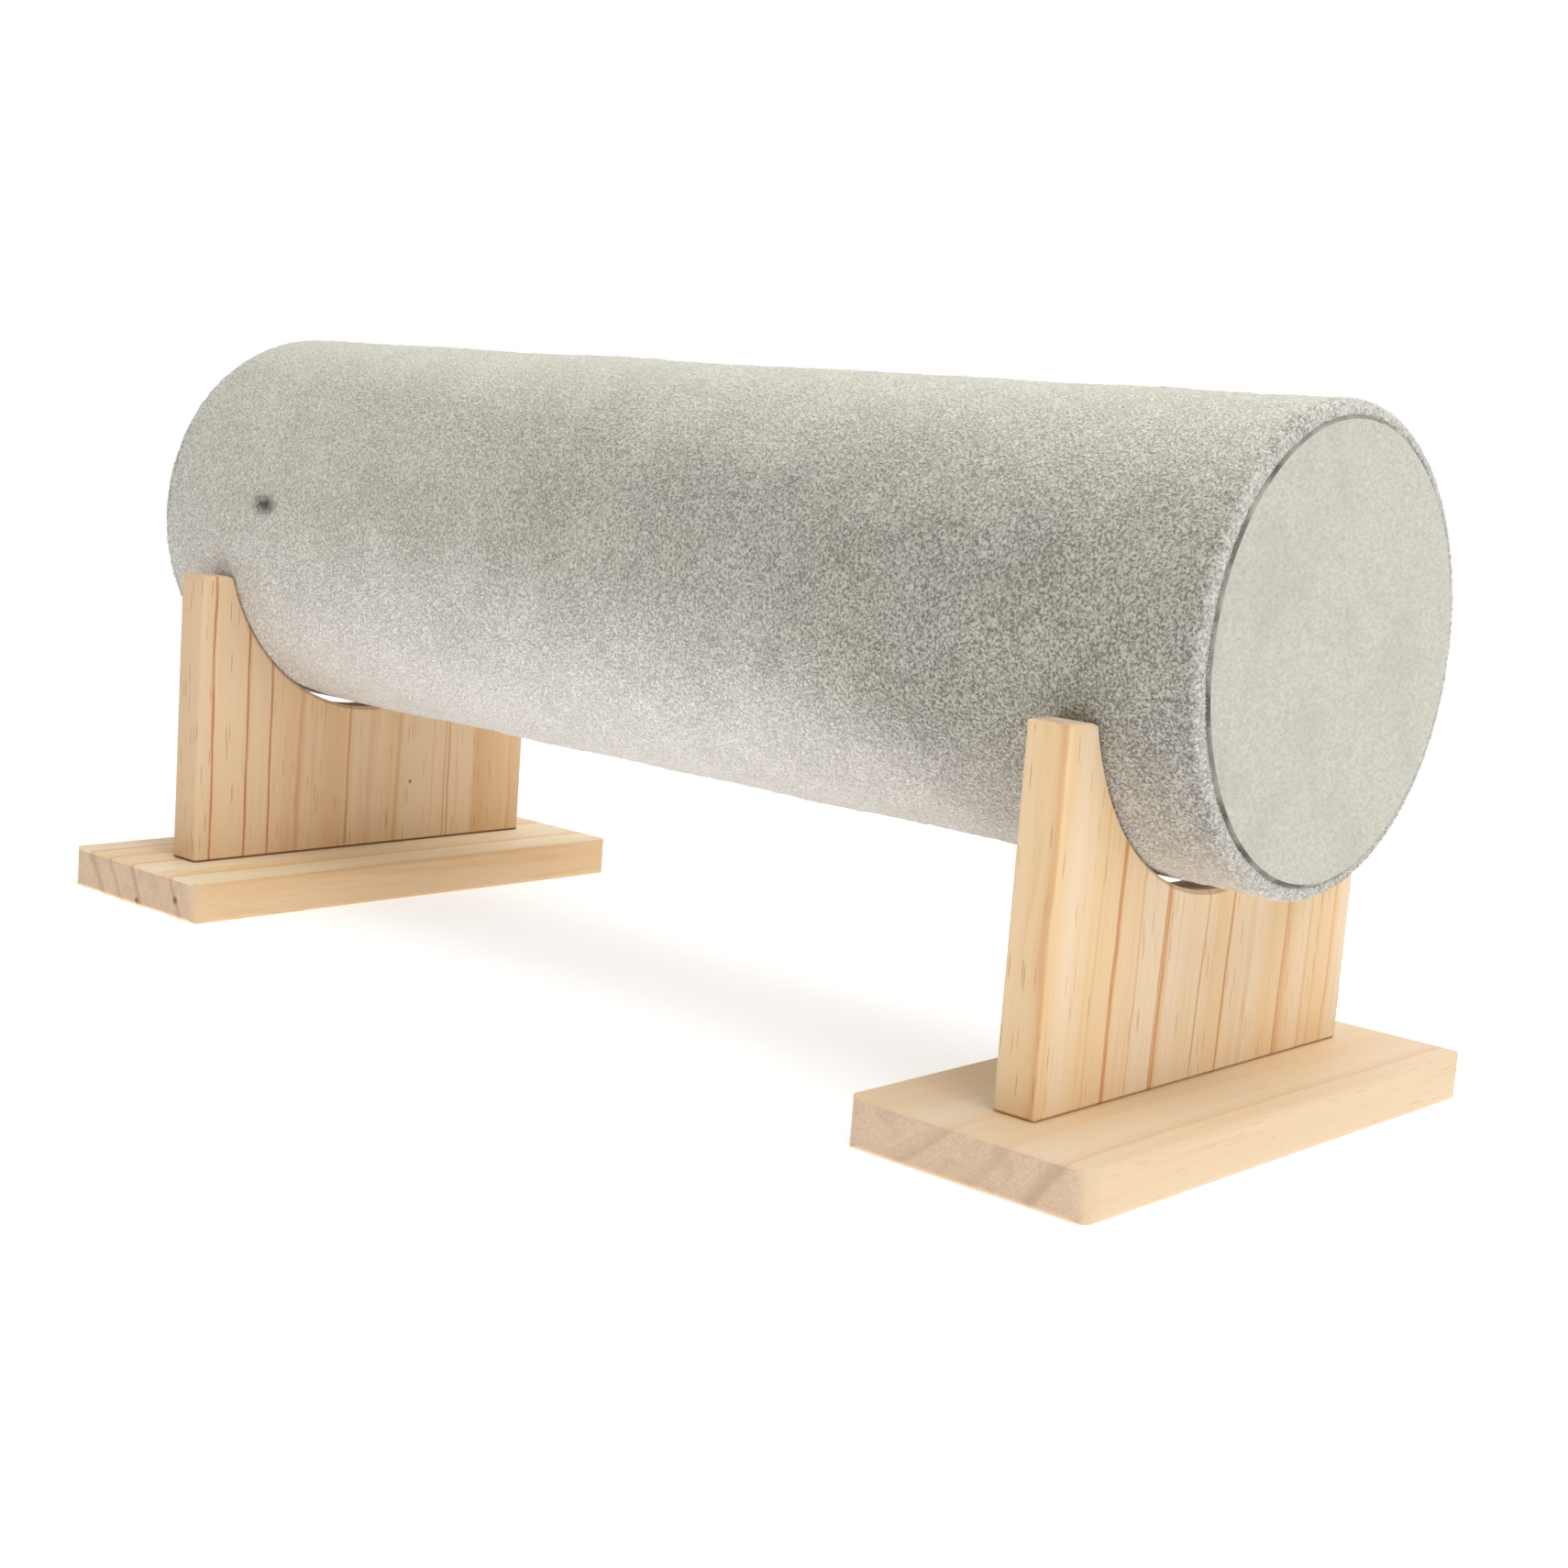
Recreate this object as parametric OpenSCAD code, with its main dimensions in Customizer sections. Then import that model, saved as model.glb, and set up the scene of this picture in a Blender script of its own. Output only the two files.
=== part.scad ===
// Hair accessory stand: a padded plush roller lying in the round cradles of two loose pine stands.
// Frame: +X along the roller, +Z up, origin on the floor midway between the two stands.

/* [Roller] */
// Length of the roller over its two rims
roller_len = 300; // [240:1:360]
// Outside diameter of the roller over the plush
roller_d = 90; // [80:0.5:100]
// Thickness of the plush fabric
plush_t = 1.7; // [1.2:0.1:2.2]
// Thickness of the foam under the plush
foam_t = 3.6; // [2:0.1:8]
// Wall of the paperboard core tube
tube_t = 3; // [1.5:0.1:5]
// Radius of the rolled outer edge of each rim
rim_r = 2.4; // [1.4:0.1:3.2]
// Radius of the inner lip of each rim
lip_r = 0.6; // [0.4:0.1:1]
// Thickness of the sleeve's hem, turned in over the tube's end
hem_t = 1.2; // [0.8:0.1:2]
// Width of the turned-in hem, measured in from the mouth
hem_w = 5; // [3:0.5:8]
// Glue line between the roller's layers
glue_t = 0.1; // [0.05:0.05:0.2]

/* [End discs] */
// Thickness of the stiff end board
board_t = 2.4; // [1.5:0.1:4]
// Thickness of the cloth over the end board
cloth_t = 0.7; // [0.5:0.1:1]
// Rounding of the cloth at the disc's edge
cloth_edge_r = 0.6; // [0.3:0.1:0.6]
// Width of the cloth's margin folded behind the board
cloth_fold_w = 7; // [4:0.5:12]
// Gap between the covered disc and the rim, which shows as the seam line
seam_gap = 0.4; // [0.2:0.05:0.8]
// Depth of the covered disc's face behind the rim
face_inset = 0.2; // [0:0.1:1]

/* [Cradle] */
// Height of the lowest point of the cradle above the base
cradle_floor_h = 36.1; // [28:0.1:60]
// Depth of the cradle below the tops of the horns
cradle_depth = 33.4; // [24:0.1:37]
// Gap left under the roller at the bottom of the cradle
under_gap = 1.4; // [0.8:0.1:3]
// Clearance between the plush and the cradle where the roller is seated
seat_gap = 0.3; // [0.2:0.05:0.6]
// Width of each horn at its top
horn_w = 8.7; // [6:0.1:20]
// Rounding of the inner corner at each horn's top
horn_r = 3.2; // [1.5:0.1:4]
// Chamfer along the cradle's two edges
cradle_chamfer = 0.8; // [0.3:0.1:1.5]

/* [Boards] */
// Distance from the roller's end to the middle of the nearer upright
end_overhang = 24; // [14:1:60]
// Thickness of the upright board
upright_t = 9.5; // [9:0.5:16]
// Length of the base board
base_len = 132; // [112:1:180]
// Width of the base board
base_w = 53; // [36:1:70]
// Thickness of the base board
base_t = 9.5; // [8:0.5:16]
// Radius of the base board's four corners
base_corner_r = 4; // [1.5:0.5:8]
// Rounding of all the sawn edges
ease_r = 1.1; // [0.5:0.1:2]
// Chamfer round the foot of each upright, which shows as a fine groove at the joint
foot_chamfer = 0.6; // [0.2:0.1:1]

/* [Screws] */
// Diameter of the screw's plain shank
screw_d = 3.5; // [3:0.1:4]
// Core diameter of the screw's threaded end
screw_core_d = 2.6; // [2:0.1:2.8]
// Length of the screw over its head
screw_len = 30; // [22:1:36]
// Diameter of the countersunk head
head_d = 7; // [6:0.1:8]
// Height of the head's cone
head_h = 2.6; // [2:0.1:3.4]
// Depth of the head below the base's underside
head_sink = 0.4; // [0.2:0.1:1]
// Width of the cross slot in the head
slot_w = 0.9; // [0.6:0.1:1.2]
// Length of each arm of the cross slot, from tip to tip
slot_len = 3.6; // [2.4:0.1:4.4]
// Depth of the cross slot
slot_depth = 1.3; // [0.8:0.1:1.8]
// Length of the screw's point
point_len = 4; // [2:0.5:6]
// Width of the flat at the very tip of the screw
tip_d = 0.5; // [0.2:0.1:0.8]
// Distance between the two screws of a stand
screw_pitch = 60; // [36:1:80]
// Clearance round the screw in the base, measured on the radius
hole_clear = 0.2; // [0.1:0.05:0.4]
// Clearance round the screw's core in the upright's pilot hole, measured on the radius
pilot_clear = 0.05; // [0.02:0.01:0.1]
// Pilot hole left over past the screw's tip
pilot_over = 2; // [1:0.5:4]

/* [Hidden] */
$fn = 128;

// Overrun of every cut past the face that it leaves by
overrun = 1;

// Radii of the roller's layers, from the outside in
roller_r = roller_d / 2;
plush_in_r = roller_r - plush_t;
foam_out_r = plush_in_r - glue_t;
foam_in_r = foam_out_r - foam_t;
tube_out_r = foam_in_r - glue_t;
tube_in_r = tube_out_r - tube_t;
mouth_r = roller_r - rim_r - lip_r;
hem_in_r = mouth_r - hem_w;
cloth_out_r = mouth_r - seam_gap;
board_r = cloth_out_r - cloth_t - glue_t;
fold_in_r = board_r - cloth_fold_w;

// Depths behind the rim, in the order in which the end is built up
board_front_depth = face_inset + cloth_t + glue_t;
board_back_depth = board_front_depth + board_t;
fold_back_depth = board_back_depth + glue_t + cloth_t;
mouth_depth = fold_back_depth + glue_t;
hem_back_depth = mouth_depth + hem_t;
tube_end_depth = hem_back_depth + glue_t;
core_len = roller_len - 2 * tube_end_depth;

// Cradle arc: its radius and centre put the roller on the two flanks and leave the gap under it
seat_h = cradle_depth - horn_r;
cradle_drop = (under_gap - seat_gap) * (roller_d + under_gap + seat_gap) / (2 * seat_h);
cradle_r = roller_r + under_gap - cradle_drop;
cradle_z = base_t + cradle_floor_h + cradle_r;
axis_z = cradle_z + cradle_drop;
upright_h = cradle_floor_h + cradle_depth;
horn_z = base_t + upright_h;
mouth_half = sqrt(2 * cradle_r * cradle_depth - cradle_depth * cradle_depth);
upright_w = 2 * (mouth_half + horn_w);

// Centre of the small arc that rounds the horn's inner corner, and where it leaves the cradle arc
horn_arc_z = horn_z - horn_r;
arc_pitch = cradle_r + horn_r;
arc_rise = cradle_z - horn_arc_z;
horn_arc_y = sqrt(arc_pitch * arc_pitch - arc_rise * arc_rise);
cradle_share = cradle_r / arc_pitch;
horn_join_y = cradle_share * horn_arc_y;
horn_join_z = cradle_z - cradle_share * arc_rise;

// Places of the stands and the screws
stand_x = roller_len / 2 - end_overhang;
screw_y = screw_pitch / 2;
pilot_depth = head_sink + screw_len - base_t + pilot_over;

plush_grey = [0.80, 0.79, 0.75];
cloth_grey = [0.81, 0.82, 0.77];
pine = [0.94, 0.80, 0.61];
kraft = [0.72, 0.57, 0.40];
foam_white = [0.95, 0.94, 0.90];
board_grey = [0.66, 0.62, 0.56];
steel = [0.72, 0.73, 0.75];

// A rectangle about the origin whose corners are true arcs
module round_rect(width, height, corner_r) {
  square([width - 2 * corner_r, height], center = true);
  square([width, height - 2 * corner_r], center = true);
  for (side_x = [-1, 1], side_y = [-1, 1])
    translate([side_x * (width / 2 - corner_r), side_y * (height / 2 - corner_r)])
      circle(r = corner_r);
}

// Places its children on the roller's axis, turned so that their +Z runs along +X
module on_axis() {
  translate([0, 0, axis_z])
    rotate([0, 90, 0])
      children();
}

// Places its children at a roller end: side is -1 for the left and 1 for the right.
// There +Z points out of the roller and zero is the rim.
module at_end(side) {
  translate([side * roller_len / 2, 0, axis_z])
    rotate([0, side * 90, 0])
      children();
}

// A ring or, with no inner radius, a disc that lies between two depths behind the rim
module end_ring(outer_r, inner_r, front_depth, back_depth) {
  translate([0, 0, -back_depth])
    difference() {
      cylinder(r = outer_r, h = back_depth - front_depth);
      if (inner_r > 0)
        translate([0, 0, -overrun])
          cylinder(r = inner_r, h = back_depth - front_depth + 2 * overrun);
    }
}

// A tube about the roller's axis, centred on the middle of the roller
module roller_tube(outer_r, inner_r) {
  on_axis()
    difference() {
      cylinder(r = outer_r, h = core_len, center = true);
      cylinder(r = inner_r, h = core_len + 2 * overrun, center = true);
    }
}

module core_tube() {
  color(kraft)
    roller_tube(tube_out_r, tube_in_r);
}

module foam_wrap() {
  color(foam_white)
    roller_tube(foam_out_r, foam_in_r);
}

// Half section of one end of the sleeve, from the middle of the roller out to the rim
module sleeve_half_section() {
  half_len = roller_len / 2;
  rim_y = half_len - rim_r;
  lip_y = half_len - lip_r;
  difference() {
    union() {
      square([roller_r - rim_r, half_len]);
      square([roller_r, rim_y]);
      translate([roller_r - rim_r, rim_y])
        circle(r = rim_r);
    }
    // bore round the foam
    translate([-overrun, -overrun])
      square([plush_in_r + overrun, half_len - hem_back_depth + overrun]);
    // hole in the hem
    translate([-overrun, 0])
      square([hem_in_r + overrun, half_len + overrun]);
    // mouth that takes the covered disc
    translate([-overrun, half_len - mouth_depth])
      square([mouth_r + overrun, mouth_depth + overrun]);
    // rounded inner lip
    difference() {
      translate([mouth_r - overrun, lip_y])
        square([lip_r + overrun, lip_r + overrun]);
      translate([mouth_r + lip_r, lip_y])
        circle(r = lip_r);
    }
  }
}

// Plush sleeve: one revolved skin whose ends roll over the rims and turn in as hems
module plush_sleeve() {
  color(plush_grey)
    on_axis()
      rotate_extrude() {
        sleeve_half_section();
        mirror([0, 1])
          sleeve_half_section();
      }
}

module end_board(side) {
  color(board_grey)
    at_end(side)
      end_ring(board_r, 0, board_front_depth, board_back_depth);
}

// Half section of the cloth's outer form: its wall, and its face with a rounded edge
module cloth_half_section() {
  face_r = cloth_out_r - cloth_edge_r;
  edge_depth = face_inset + cloth_edge_r;
  translate([0, -fold_back_depth])
    square([cloth_out_r, fold_back_depth - edge_depth]);
  translate([0, -fold_back_depth])
    square([face_r, fold_back_depth - face_inset]);
  translate([face_r, -edge_depth])
    circle(r = cloth_edge_r);
}

// Cloth over the end board: a face, a wall and a margin folded behind
module end_cloth(side) {
  color(cloth_grey)
    at_end(side)
      difference() {
        rotate_extrude()
          cloth_half_section();
        // pocket that holds the board
        translate([0, 0, -board_back_depth - glue_t])
          cylinder(r = board_r + glue_t, h = board_t + 2 * glue_t);
        // open middle of the folded margin
        translate([0, 0, -fold_back_depth - overrun])
          cylinder(r = fold_in_r, h = cloth_t + 2 * overrun);
      }
}

// Places its children on the floor under a stand: side is -1 for the left and 1 for the right
module at_stand(side) {
  translate([side * stand_x, 0, 0])
    children();
}

// Countersunk clearance hole up through the base, turned as one shape
module screw_hole() {
  shank_r = screw_d / 2 + hole_clear;
  head_r = head_d / 2 + hole_clear;
  rotate_extrude()
    polygon([
      [0, -overrun],
      [head_r, -overrun],
      [head_r, head_sink],
      [shank_r, head_sink + head_h],
      [shank_r, base_t + overrun],
      [0, base_t + overrun]
    ]);
}

// Base board: corners rounded in plan and every arris eased, with two holes for the screws
module base_board(side) {
  color(pine)
    at_stand(side)
      difference() {
        translate([0, 0, base_t / 2])
          intersection() {
            linear_extrude(base_t, center = true)
              round_rect(base_w, base_len, base_corner_r);
            rotate([90, 0, 90])
              linear_extrude(base_w, center = true)
                round_rect(base_len, base_t, ease_r);
            rotate([90, 0, 0])
              linear_extrude(base_len, center = true)
                round_rect(base_w, base_t, ease_r);
          }
        for (end = [-1, 1])
          translate([0, end * screw_y, 0])
            screw_hole();
      }
}

// Removes the sharp inner corner of one horn and leaves a true arc there
module horn_corner_cut() {
  difference() {
    polygon([
      [horn_arc_y, horn_arc_z],
      [horn_arc_y, horn_z + overrun],
      [mouth_half - overrun, horn_z + overrun],
      [horn_join_y - overrun, horn_join_z],
      [horn_join_y, horn_join_z]
    ]);
    translate([horn_arc_y, horn_arc_z])
      circle(r = horn_r);
  }
}

// Outline of a board standing on the base: true arcs at its top corners, a chamfer at its foot
module standing_rect(width) {
  half_w = width / 2;
  polygon([
    [foot_chamfer - half_w, base_t],
    [half_w - foot_chamfer, base_t],
    [half_w, base_t + foot_chamfer],
    [half_w, horn_z - ease_r],
    [half_w - ease_r, horn_z],
    [ease_r - half_w, horn_z],
    [-half_w, horn_z - ease_r],
    [-half_w, base_t + foot_chamfer]
  ]);
  for (side_x = [-1, 1])
    translate([side_x * (half_w - ease_r), horn_z - ease_r])
      circle(r = ease_r);
}

// Outline of the upright seen along the roller: a board with a round cradle between two horns
module upright_outline() {
  difference() {
    standing_rect(upright_w);
    translate([0, cradle_z])
      circle(r = cradle_r);
    horn_corner_cut();
    mirror([1, 0])
      horn_corner_cut();
  }
}

// Upright board: the outline at board thickness, eased edges, chamfered cradle and pilot holes
module upright_board(side) {
  // the chamfer's cone starts inside the open cradle and ends clear of the board's face
  cone_reach = cradle_chamfer + overrun;
  color(pine)
    at_stand(side)
      difference() {
        intersection() {
          rotate([90, 0, 90])
            linear_extrude(upright_t, center = true)
              upright_outline();
          translate([0, 0, base_t])
            linear_extrude(upright_h + overrun)
              round_rect(upright_t, upright_w, ease_r);
          // eases the horns' tops and the foot across the board's thickness
          rotate([90, 0, 0])
            linear_extrude(upright_w + overrun, center = true)
              standing_rect(upright_t);
        }
        for (face = [-1, 1])
          translate([0, 0, cradle_z])
            rotate([0, face * 90, 0])
              translate([0, 0, upright_t / 2 - cone_reach])
                cylinder(r1 = cradle_r - overrun, r2 = cradle_r + cone_reach, h = cone_reach + overrun);
        for (end = [-1, 1])
          translate([0, end * screw_y, base_t - overrun])
            cylinder(r = screw_core_d / 2 + pilot_clear, h = pilot_depth + overrun);
      }
}

// Countersunk wood screw pointing up, its head just inside the base's underside:
// head, plain shank, threaded core and point turned as one shape, less the cross slot
module wood_screw() {
  head_r = head_d / 2;
  shank_r = screw_d / 2;
  core_r = screw_core_d / 2;
  shank_end = base_t - head_sink;
  core_end = screw_len - point_len;
  translate([0, 0, head_sink])
    difference() {
      rotate_extrude()
        polygon([
          [0, 0],
          [head_r, 0],
          [shank_r, head_h],
          [shank_r, shank_end],
          [core_r, shank_end],
          [core_r, core_end],
          [tip_d / 2, screw_len],
          [0, screw_len]
        ]);
      for (turn = [0, 90])
        rotate([0, 0, turn])
          translate([-slot_len / 2, -slot_w / 2, -overrun])
            cube([slot_len, slot_w, slot_depth + overrun]);
    }
}

// One screw of a stand: end is -1 for the front and 1 for the rear
module stand_screw(side, end) {
  color(steel)
    at_stand(side)
      translate([0, end * screw_y, 0])
        wood_screw();
}

core_tube();
foam_wrap();
plush_sleeve();
end_board(-1);  // left_end_board
end_cloth(-1);  // left_end_cloth
end_board(1);  // right_end_board
end_cloth(1);  // right_end_cloth
base_board(-1);  // left_base
upright_board(-1);  // left_upright
stand_screw(-1, -1);  // left_front_screw
stand_screw(-1, 1);  // left_rear_screw
base_board(1);  // right_base
upright_board(1);  // right_upright
stand_screw(1, -1);  // right_front_screw
stand_screw(1, 1);  // right_rear_screw
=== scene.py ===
"""Hair accessory stand: a padded plush roller lying in two loose pine stands.

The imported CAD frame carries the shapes. This scene gives the roller its pile, its
covered end discs and its foam, and finishes the pine boards, the tube and the screws.
"""

import logging
import math
from dataclasses import dataclass
from enum import Enum, IntEnum
from typing import Protocol, Sequence

import bpy
import numpy as np
from mathutils import Matrix, Vector


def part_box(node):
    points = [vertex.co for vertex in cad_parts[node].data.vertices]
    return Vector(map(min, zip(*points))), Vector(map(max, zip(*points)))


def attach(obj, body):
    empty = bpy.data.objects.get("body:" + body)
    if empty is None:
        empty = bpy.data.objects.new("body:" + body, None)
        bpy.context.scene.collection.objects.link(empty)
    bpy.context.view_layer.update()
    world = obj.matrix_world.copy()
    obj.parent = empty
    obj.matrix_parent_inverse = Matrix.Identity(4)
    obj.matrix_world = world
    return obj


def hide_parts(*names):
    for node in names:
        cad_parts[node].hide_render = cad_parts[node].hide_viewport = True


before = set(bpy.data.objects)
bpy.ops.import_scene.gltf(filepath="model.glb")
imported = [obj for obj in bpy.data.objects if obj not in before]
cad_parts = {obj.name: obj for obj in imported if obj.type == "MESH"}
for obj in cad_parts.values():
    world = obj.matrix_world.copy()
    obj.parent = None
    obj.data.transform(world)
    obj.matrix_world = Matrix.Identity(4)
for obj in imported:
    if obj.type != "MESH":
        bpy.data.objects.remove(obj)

LOG = logging.getLogger("hair_accessory_stand")
MM = 0.001
FULL_TURN = 2 * math.pi

RGBA = tuple[float, float, float, float]
Point = tuple[float, float, float]
Pair = tuple[float, float]
Knot = tuple[Point, float]
Socket = bpy.types.NodeSocket
Owner = bpy.types.Material | bpy.types.World
Value = float | Sequence[float] | Socket


def tone(red: int, green: int, blue: int) -> RGBA:
    """Turns a paint-chart colour into the linear colour that a shader takes.

    Args:
        red: Red from 0 to 255.
        green: Green from 0 to 255.
        blue: Blue from 0 to 255.

    Returns:
        The linear colour, fully opaque.
    """
    parts = [c / 255 for c in (red, green, blue)]
    linear = [p / 12.92 if p <= 0.04045 else ((p + 0.055) / 1.055) ** 2.4 for p in parts]
    return (linear[0], linear[1], linear[2], 1.0)


class Side(Enum):
    """An end of the stand, with its sign along the roller."""

    LEFT = -1
    RIGHT = 1

    @property
    def word(self) -> str:
        """The side's word in the names of the CAD nodes."""
        return self.name.lower()


class Grain(Enum):
    """The way the fibres run in a board: the axes across it, through it and along it."""

    UPRIGHT = ("Y", "X", "Z")
    LENGTHWISE = ("X", "Z", "Y")

    @property
    def across(self) -> str:
        """The axis across the board's shown face."""
        return self.value[0]

    @property
    def along(self) -> str:
        """The axis that the fibres run along."""
        return self.value[2]


class Draw(IntEnum):
    """The start of each run of random draws, one for each thing that is left to chance."""

    HILLS = 11
    CLUMPS = 12
    TANGLE = 13
    DISC_FACE = 21
    FOAM_SKIN = 31
    TUFTS = 40
    SHAG = 44


class Graph:
    """A material's or world's node tree, with short calls for the nodes that the finishes use."""

    def __init__(self, owner: Owner) -> None:
        """Empties a node tree and takes it over.

        Args:
            owner: The material or world whose tree it is.
        """
        self.owner = owner
        self.owner.use_nodes = True
        self.tree = self.owner.node_tree
        self.tree.nodes.clear()

    def put(self, node: bpy.types.Node, key: str | int, value: Value) -> None:
        """Links a socket to an input, or sets the input to a plain value.

        Args:
            node: The node that takes the value.
            key: The input's name or number.
            value: The socket or the plain value.
        """
        if isinstance(value, Socket):
            self.tree.links.new(value, node.inputs[key])
        else:
            node.inputs[key].default_value = value

    def node(self, kind: str, inputs: dict[str | int, Value], **settings: object) -> bpy.types.Node:
        """Adds a node.

        Args:
            kind: The node's type, without its ShaderNode prefix.
            inputs: A value or a socket for each input that is set.
            settings: Attributes of the node, set before its inputs.

        Returns:
            The new node.
        """
        made = self.tree.nodes.new("ShaderNode" + kind)
        for name, value in settings.items():
            setattr(made, name, value)
        for key, value in inputs.items():
            self.put(made, key, value)
        return made

    def math(self, operation: str, first: Value, second: Value = 0.0) -> Socket:
        """Adds a Math node and returns its result."""
        return self.node("Math", {0: first, 1: second}, operation=operation).outputs[0]

    def vector(self, operation: str, first: Value, second: Value) -> Socket:
        """Adds a Vector Math node and returns its vector."""
        return self.node("VectorMath", {0: first, 1: second}, operation=operation).outputs[0]

    def distance(self, first: Value, second: Value) -> Socket:
        """Returns the distance between two points."""
        return self.node("VectorMath", {0: first, 1: second}, operation="DISTANCE").outputs["Value"]

    def join(self, x: Value, y: Value, z: Value) -> Socket:
        """Joins three numbers into a vector."""
        return self.node("CombineXYZ", {0: x, 1: y, 2: z}).outputs[0]

    def split(self, vector: Socket) -> dict[str, Socket]:
        """Splits a vector into its numbers, named X, Y and Z."""
        parts = self.node("SeparateXYZ", {0: vector}).outputs
        return {name: parts[name] for name in "XYZ"}

    def place(self, origin: Point = (0.0, 0.0, 0.0)) -> Socket:
        """Returns the place on the piece in millimetres, measured from an origin in metres."""
        spot = self.node("TexCoord", {}).outputs["Object"]
        return self.vector("MULTIPLY", self.vector("SUBTRACT", spot, origin), (1 / MM,) * 3)

    def noise(
        self, where: Socket, size: float, detail: float = 2.0,
        rough: float = 0.5, twist: float = 0.0,
    ) -> Socket:
        """Adds cloudy noise.

        Args:
            where: The place, in millimetres.
            size: Distance between the clouds, in millimetres.
            detail: Finer layers on top of the clouds.
            rough: Strength of those layers.
            twist: How far the clouds are curled.

        Returns:
            The noise, about one half on average.
        """
        inputs = {"Vector": where, "Scale": 1 / size, "Detail": detail, "Roughness": rough}
        return self.node("TexNoise", inputs | {"Distortion": twist}).outputs[0]

    def cells(self, where: Socket, size: float, jitter: float = 1.0) -> Socket:
        """Returns the distance to the nearest of many scattered points, in cells."""
        inputs = {"Vector": where, "Scale": 1 / size, "Randomness": jitter}
        return self.node("TexVoronoi", inputs).outputs["Distance"]

    def fit(
        self, value: Value, low: float, high: float, to_low: float = 0.0, to_high: float = 1.0
    ) -> Socket:
        """Maps a value smoothly from one range to another and keeps it inside."""
        inputs = {0: value, 1: low, 2: high, 3: to_low, 4: to_high}
        return self.node("MapRange", inputs, interpolation_type="SMOOTHSTEP").outputs[0]

    def seen(self) -> Socket:
        """Tells what shows to the eye from what only gives light.

        Returns:
            1 where the eye sees it, also in a reflection or through glass, and 0 elsewhere.
        """
        path = self.node("LightPath", {}).outputs
        turned = self.math("MAXIMUM", path["Is Glossy Ray"], path["Is Transmission Ray"])
        return self.math("MAXIMUM", path["Is Camera Ray"], turned)

    def ramp(self, value: Value, stops: Sequence[Pair]) -> Socket:
        """Maps a value from 0 to 1 through stops.

        Args:
            value: What is mapped.
            stops: The place and the brightness of each stop.

        Returns:
            The brightness, as a grey colour.
        """
        made = self.node("ValToRGB", {0: value})
        marks = made.color_ramp.elements
        while len(marks) < len(stops):
            marks.new(1.0)
        for mark, (at, level) in zip(marks, stops):
            mark.position = at
            mark.color = (level, level, level, 1.0)
        return made.outputs[0]

    def mix(self, share: Value, first: Value, second: Value, how: str = "MIX") -> Socket:
        """Mixes two colours by a share from 0 to 1."""
        made = self.node("Mix", {0: share, 6: first, 7: second}, data_type="RGBA", blend_type=how)
        return made.outputs[2]

    def bump(self, height: Socket, depth_mm: float, strength: float = 1.0) -> Socket:
        """Turns a height from 0 to 1 into a bumped normal of that depth."""
        inputs = {"Height": height, "Distance": depth_mm * MM, "Strength": strength}
        return self.node("Bump", inputs).outputs[0]

    def surface(self, inputs: dict[str, Value]) -> bpy.types.Material:
        """Ends the material in a Principled shader.

        Args:
            inputs: A value or a socket for each of the shader's inputs that is set.

        Returns:
            The finished material.
        """
        shader = self.node("BsdfPrincipled", inputs)
        self.node("OutputMaterial", {"Surface": shader.outputs[0]})
        return self.owner


class Finish(Protocol):
    """What every finish has and can do."""

    name: str

    def material(self) -> bpy.types.Material:
        """Makes the finish's material."""


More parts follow.
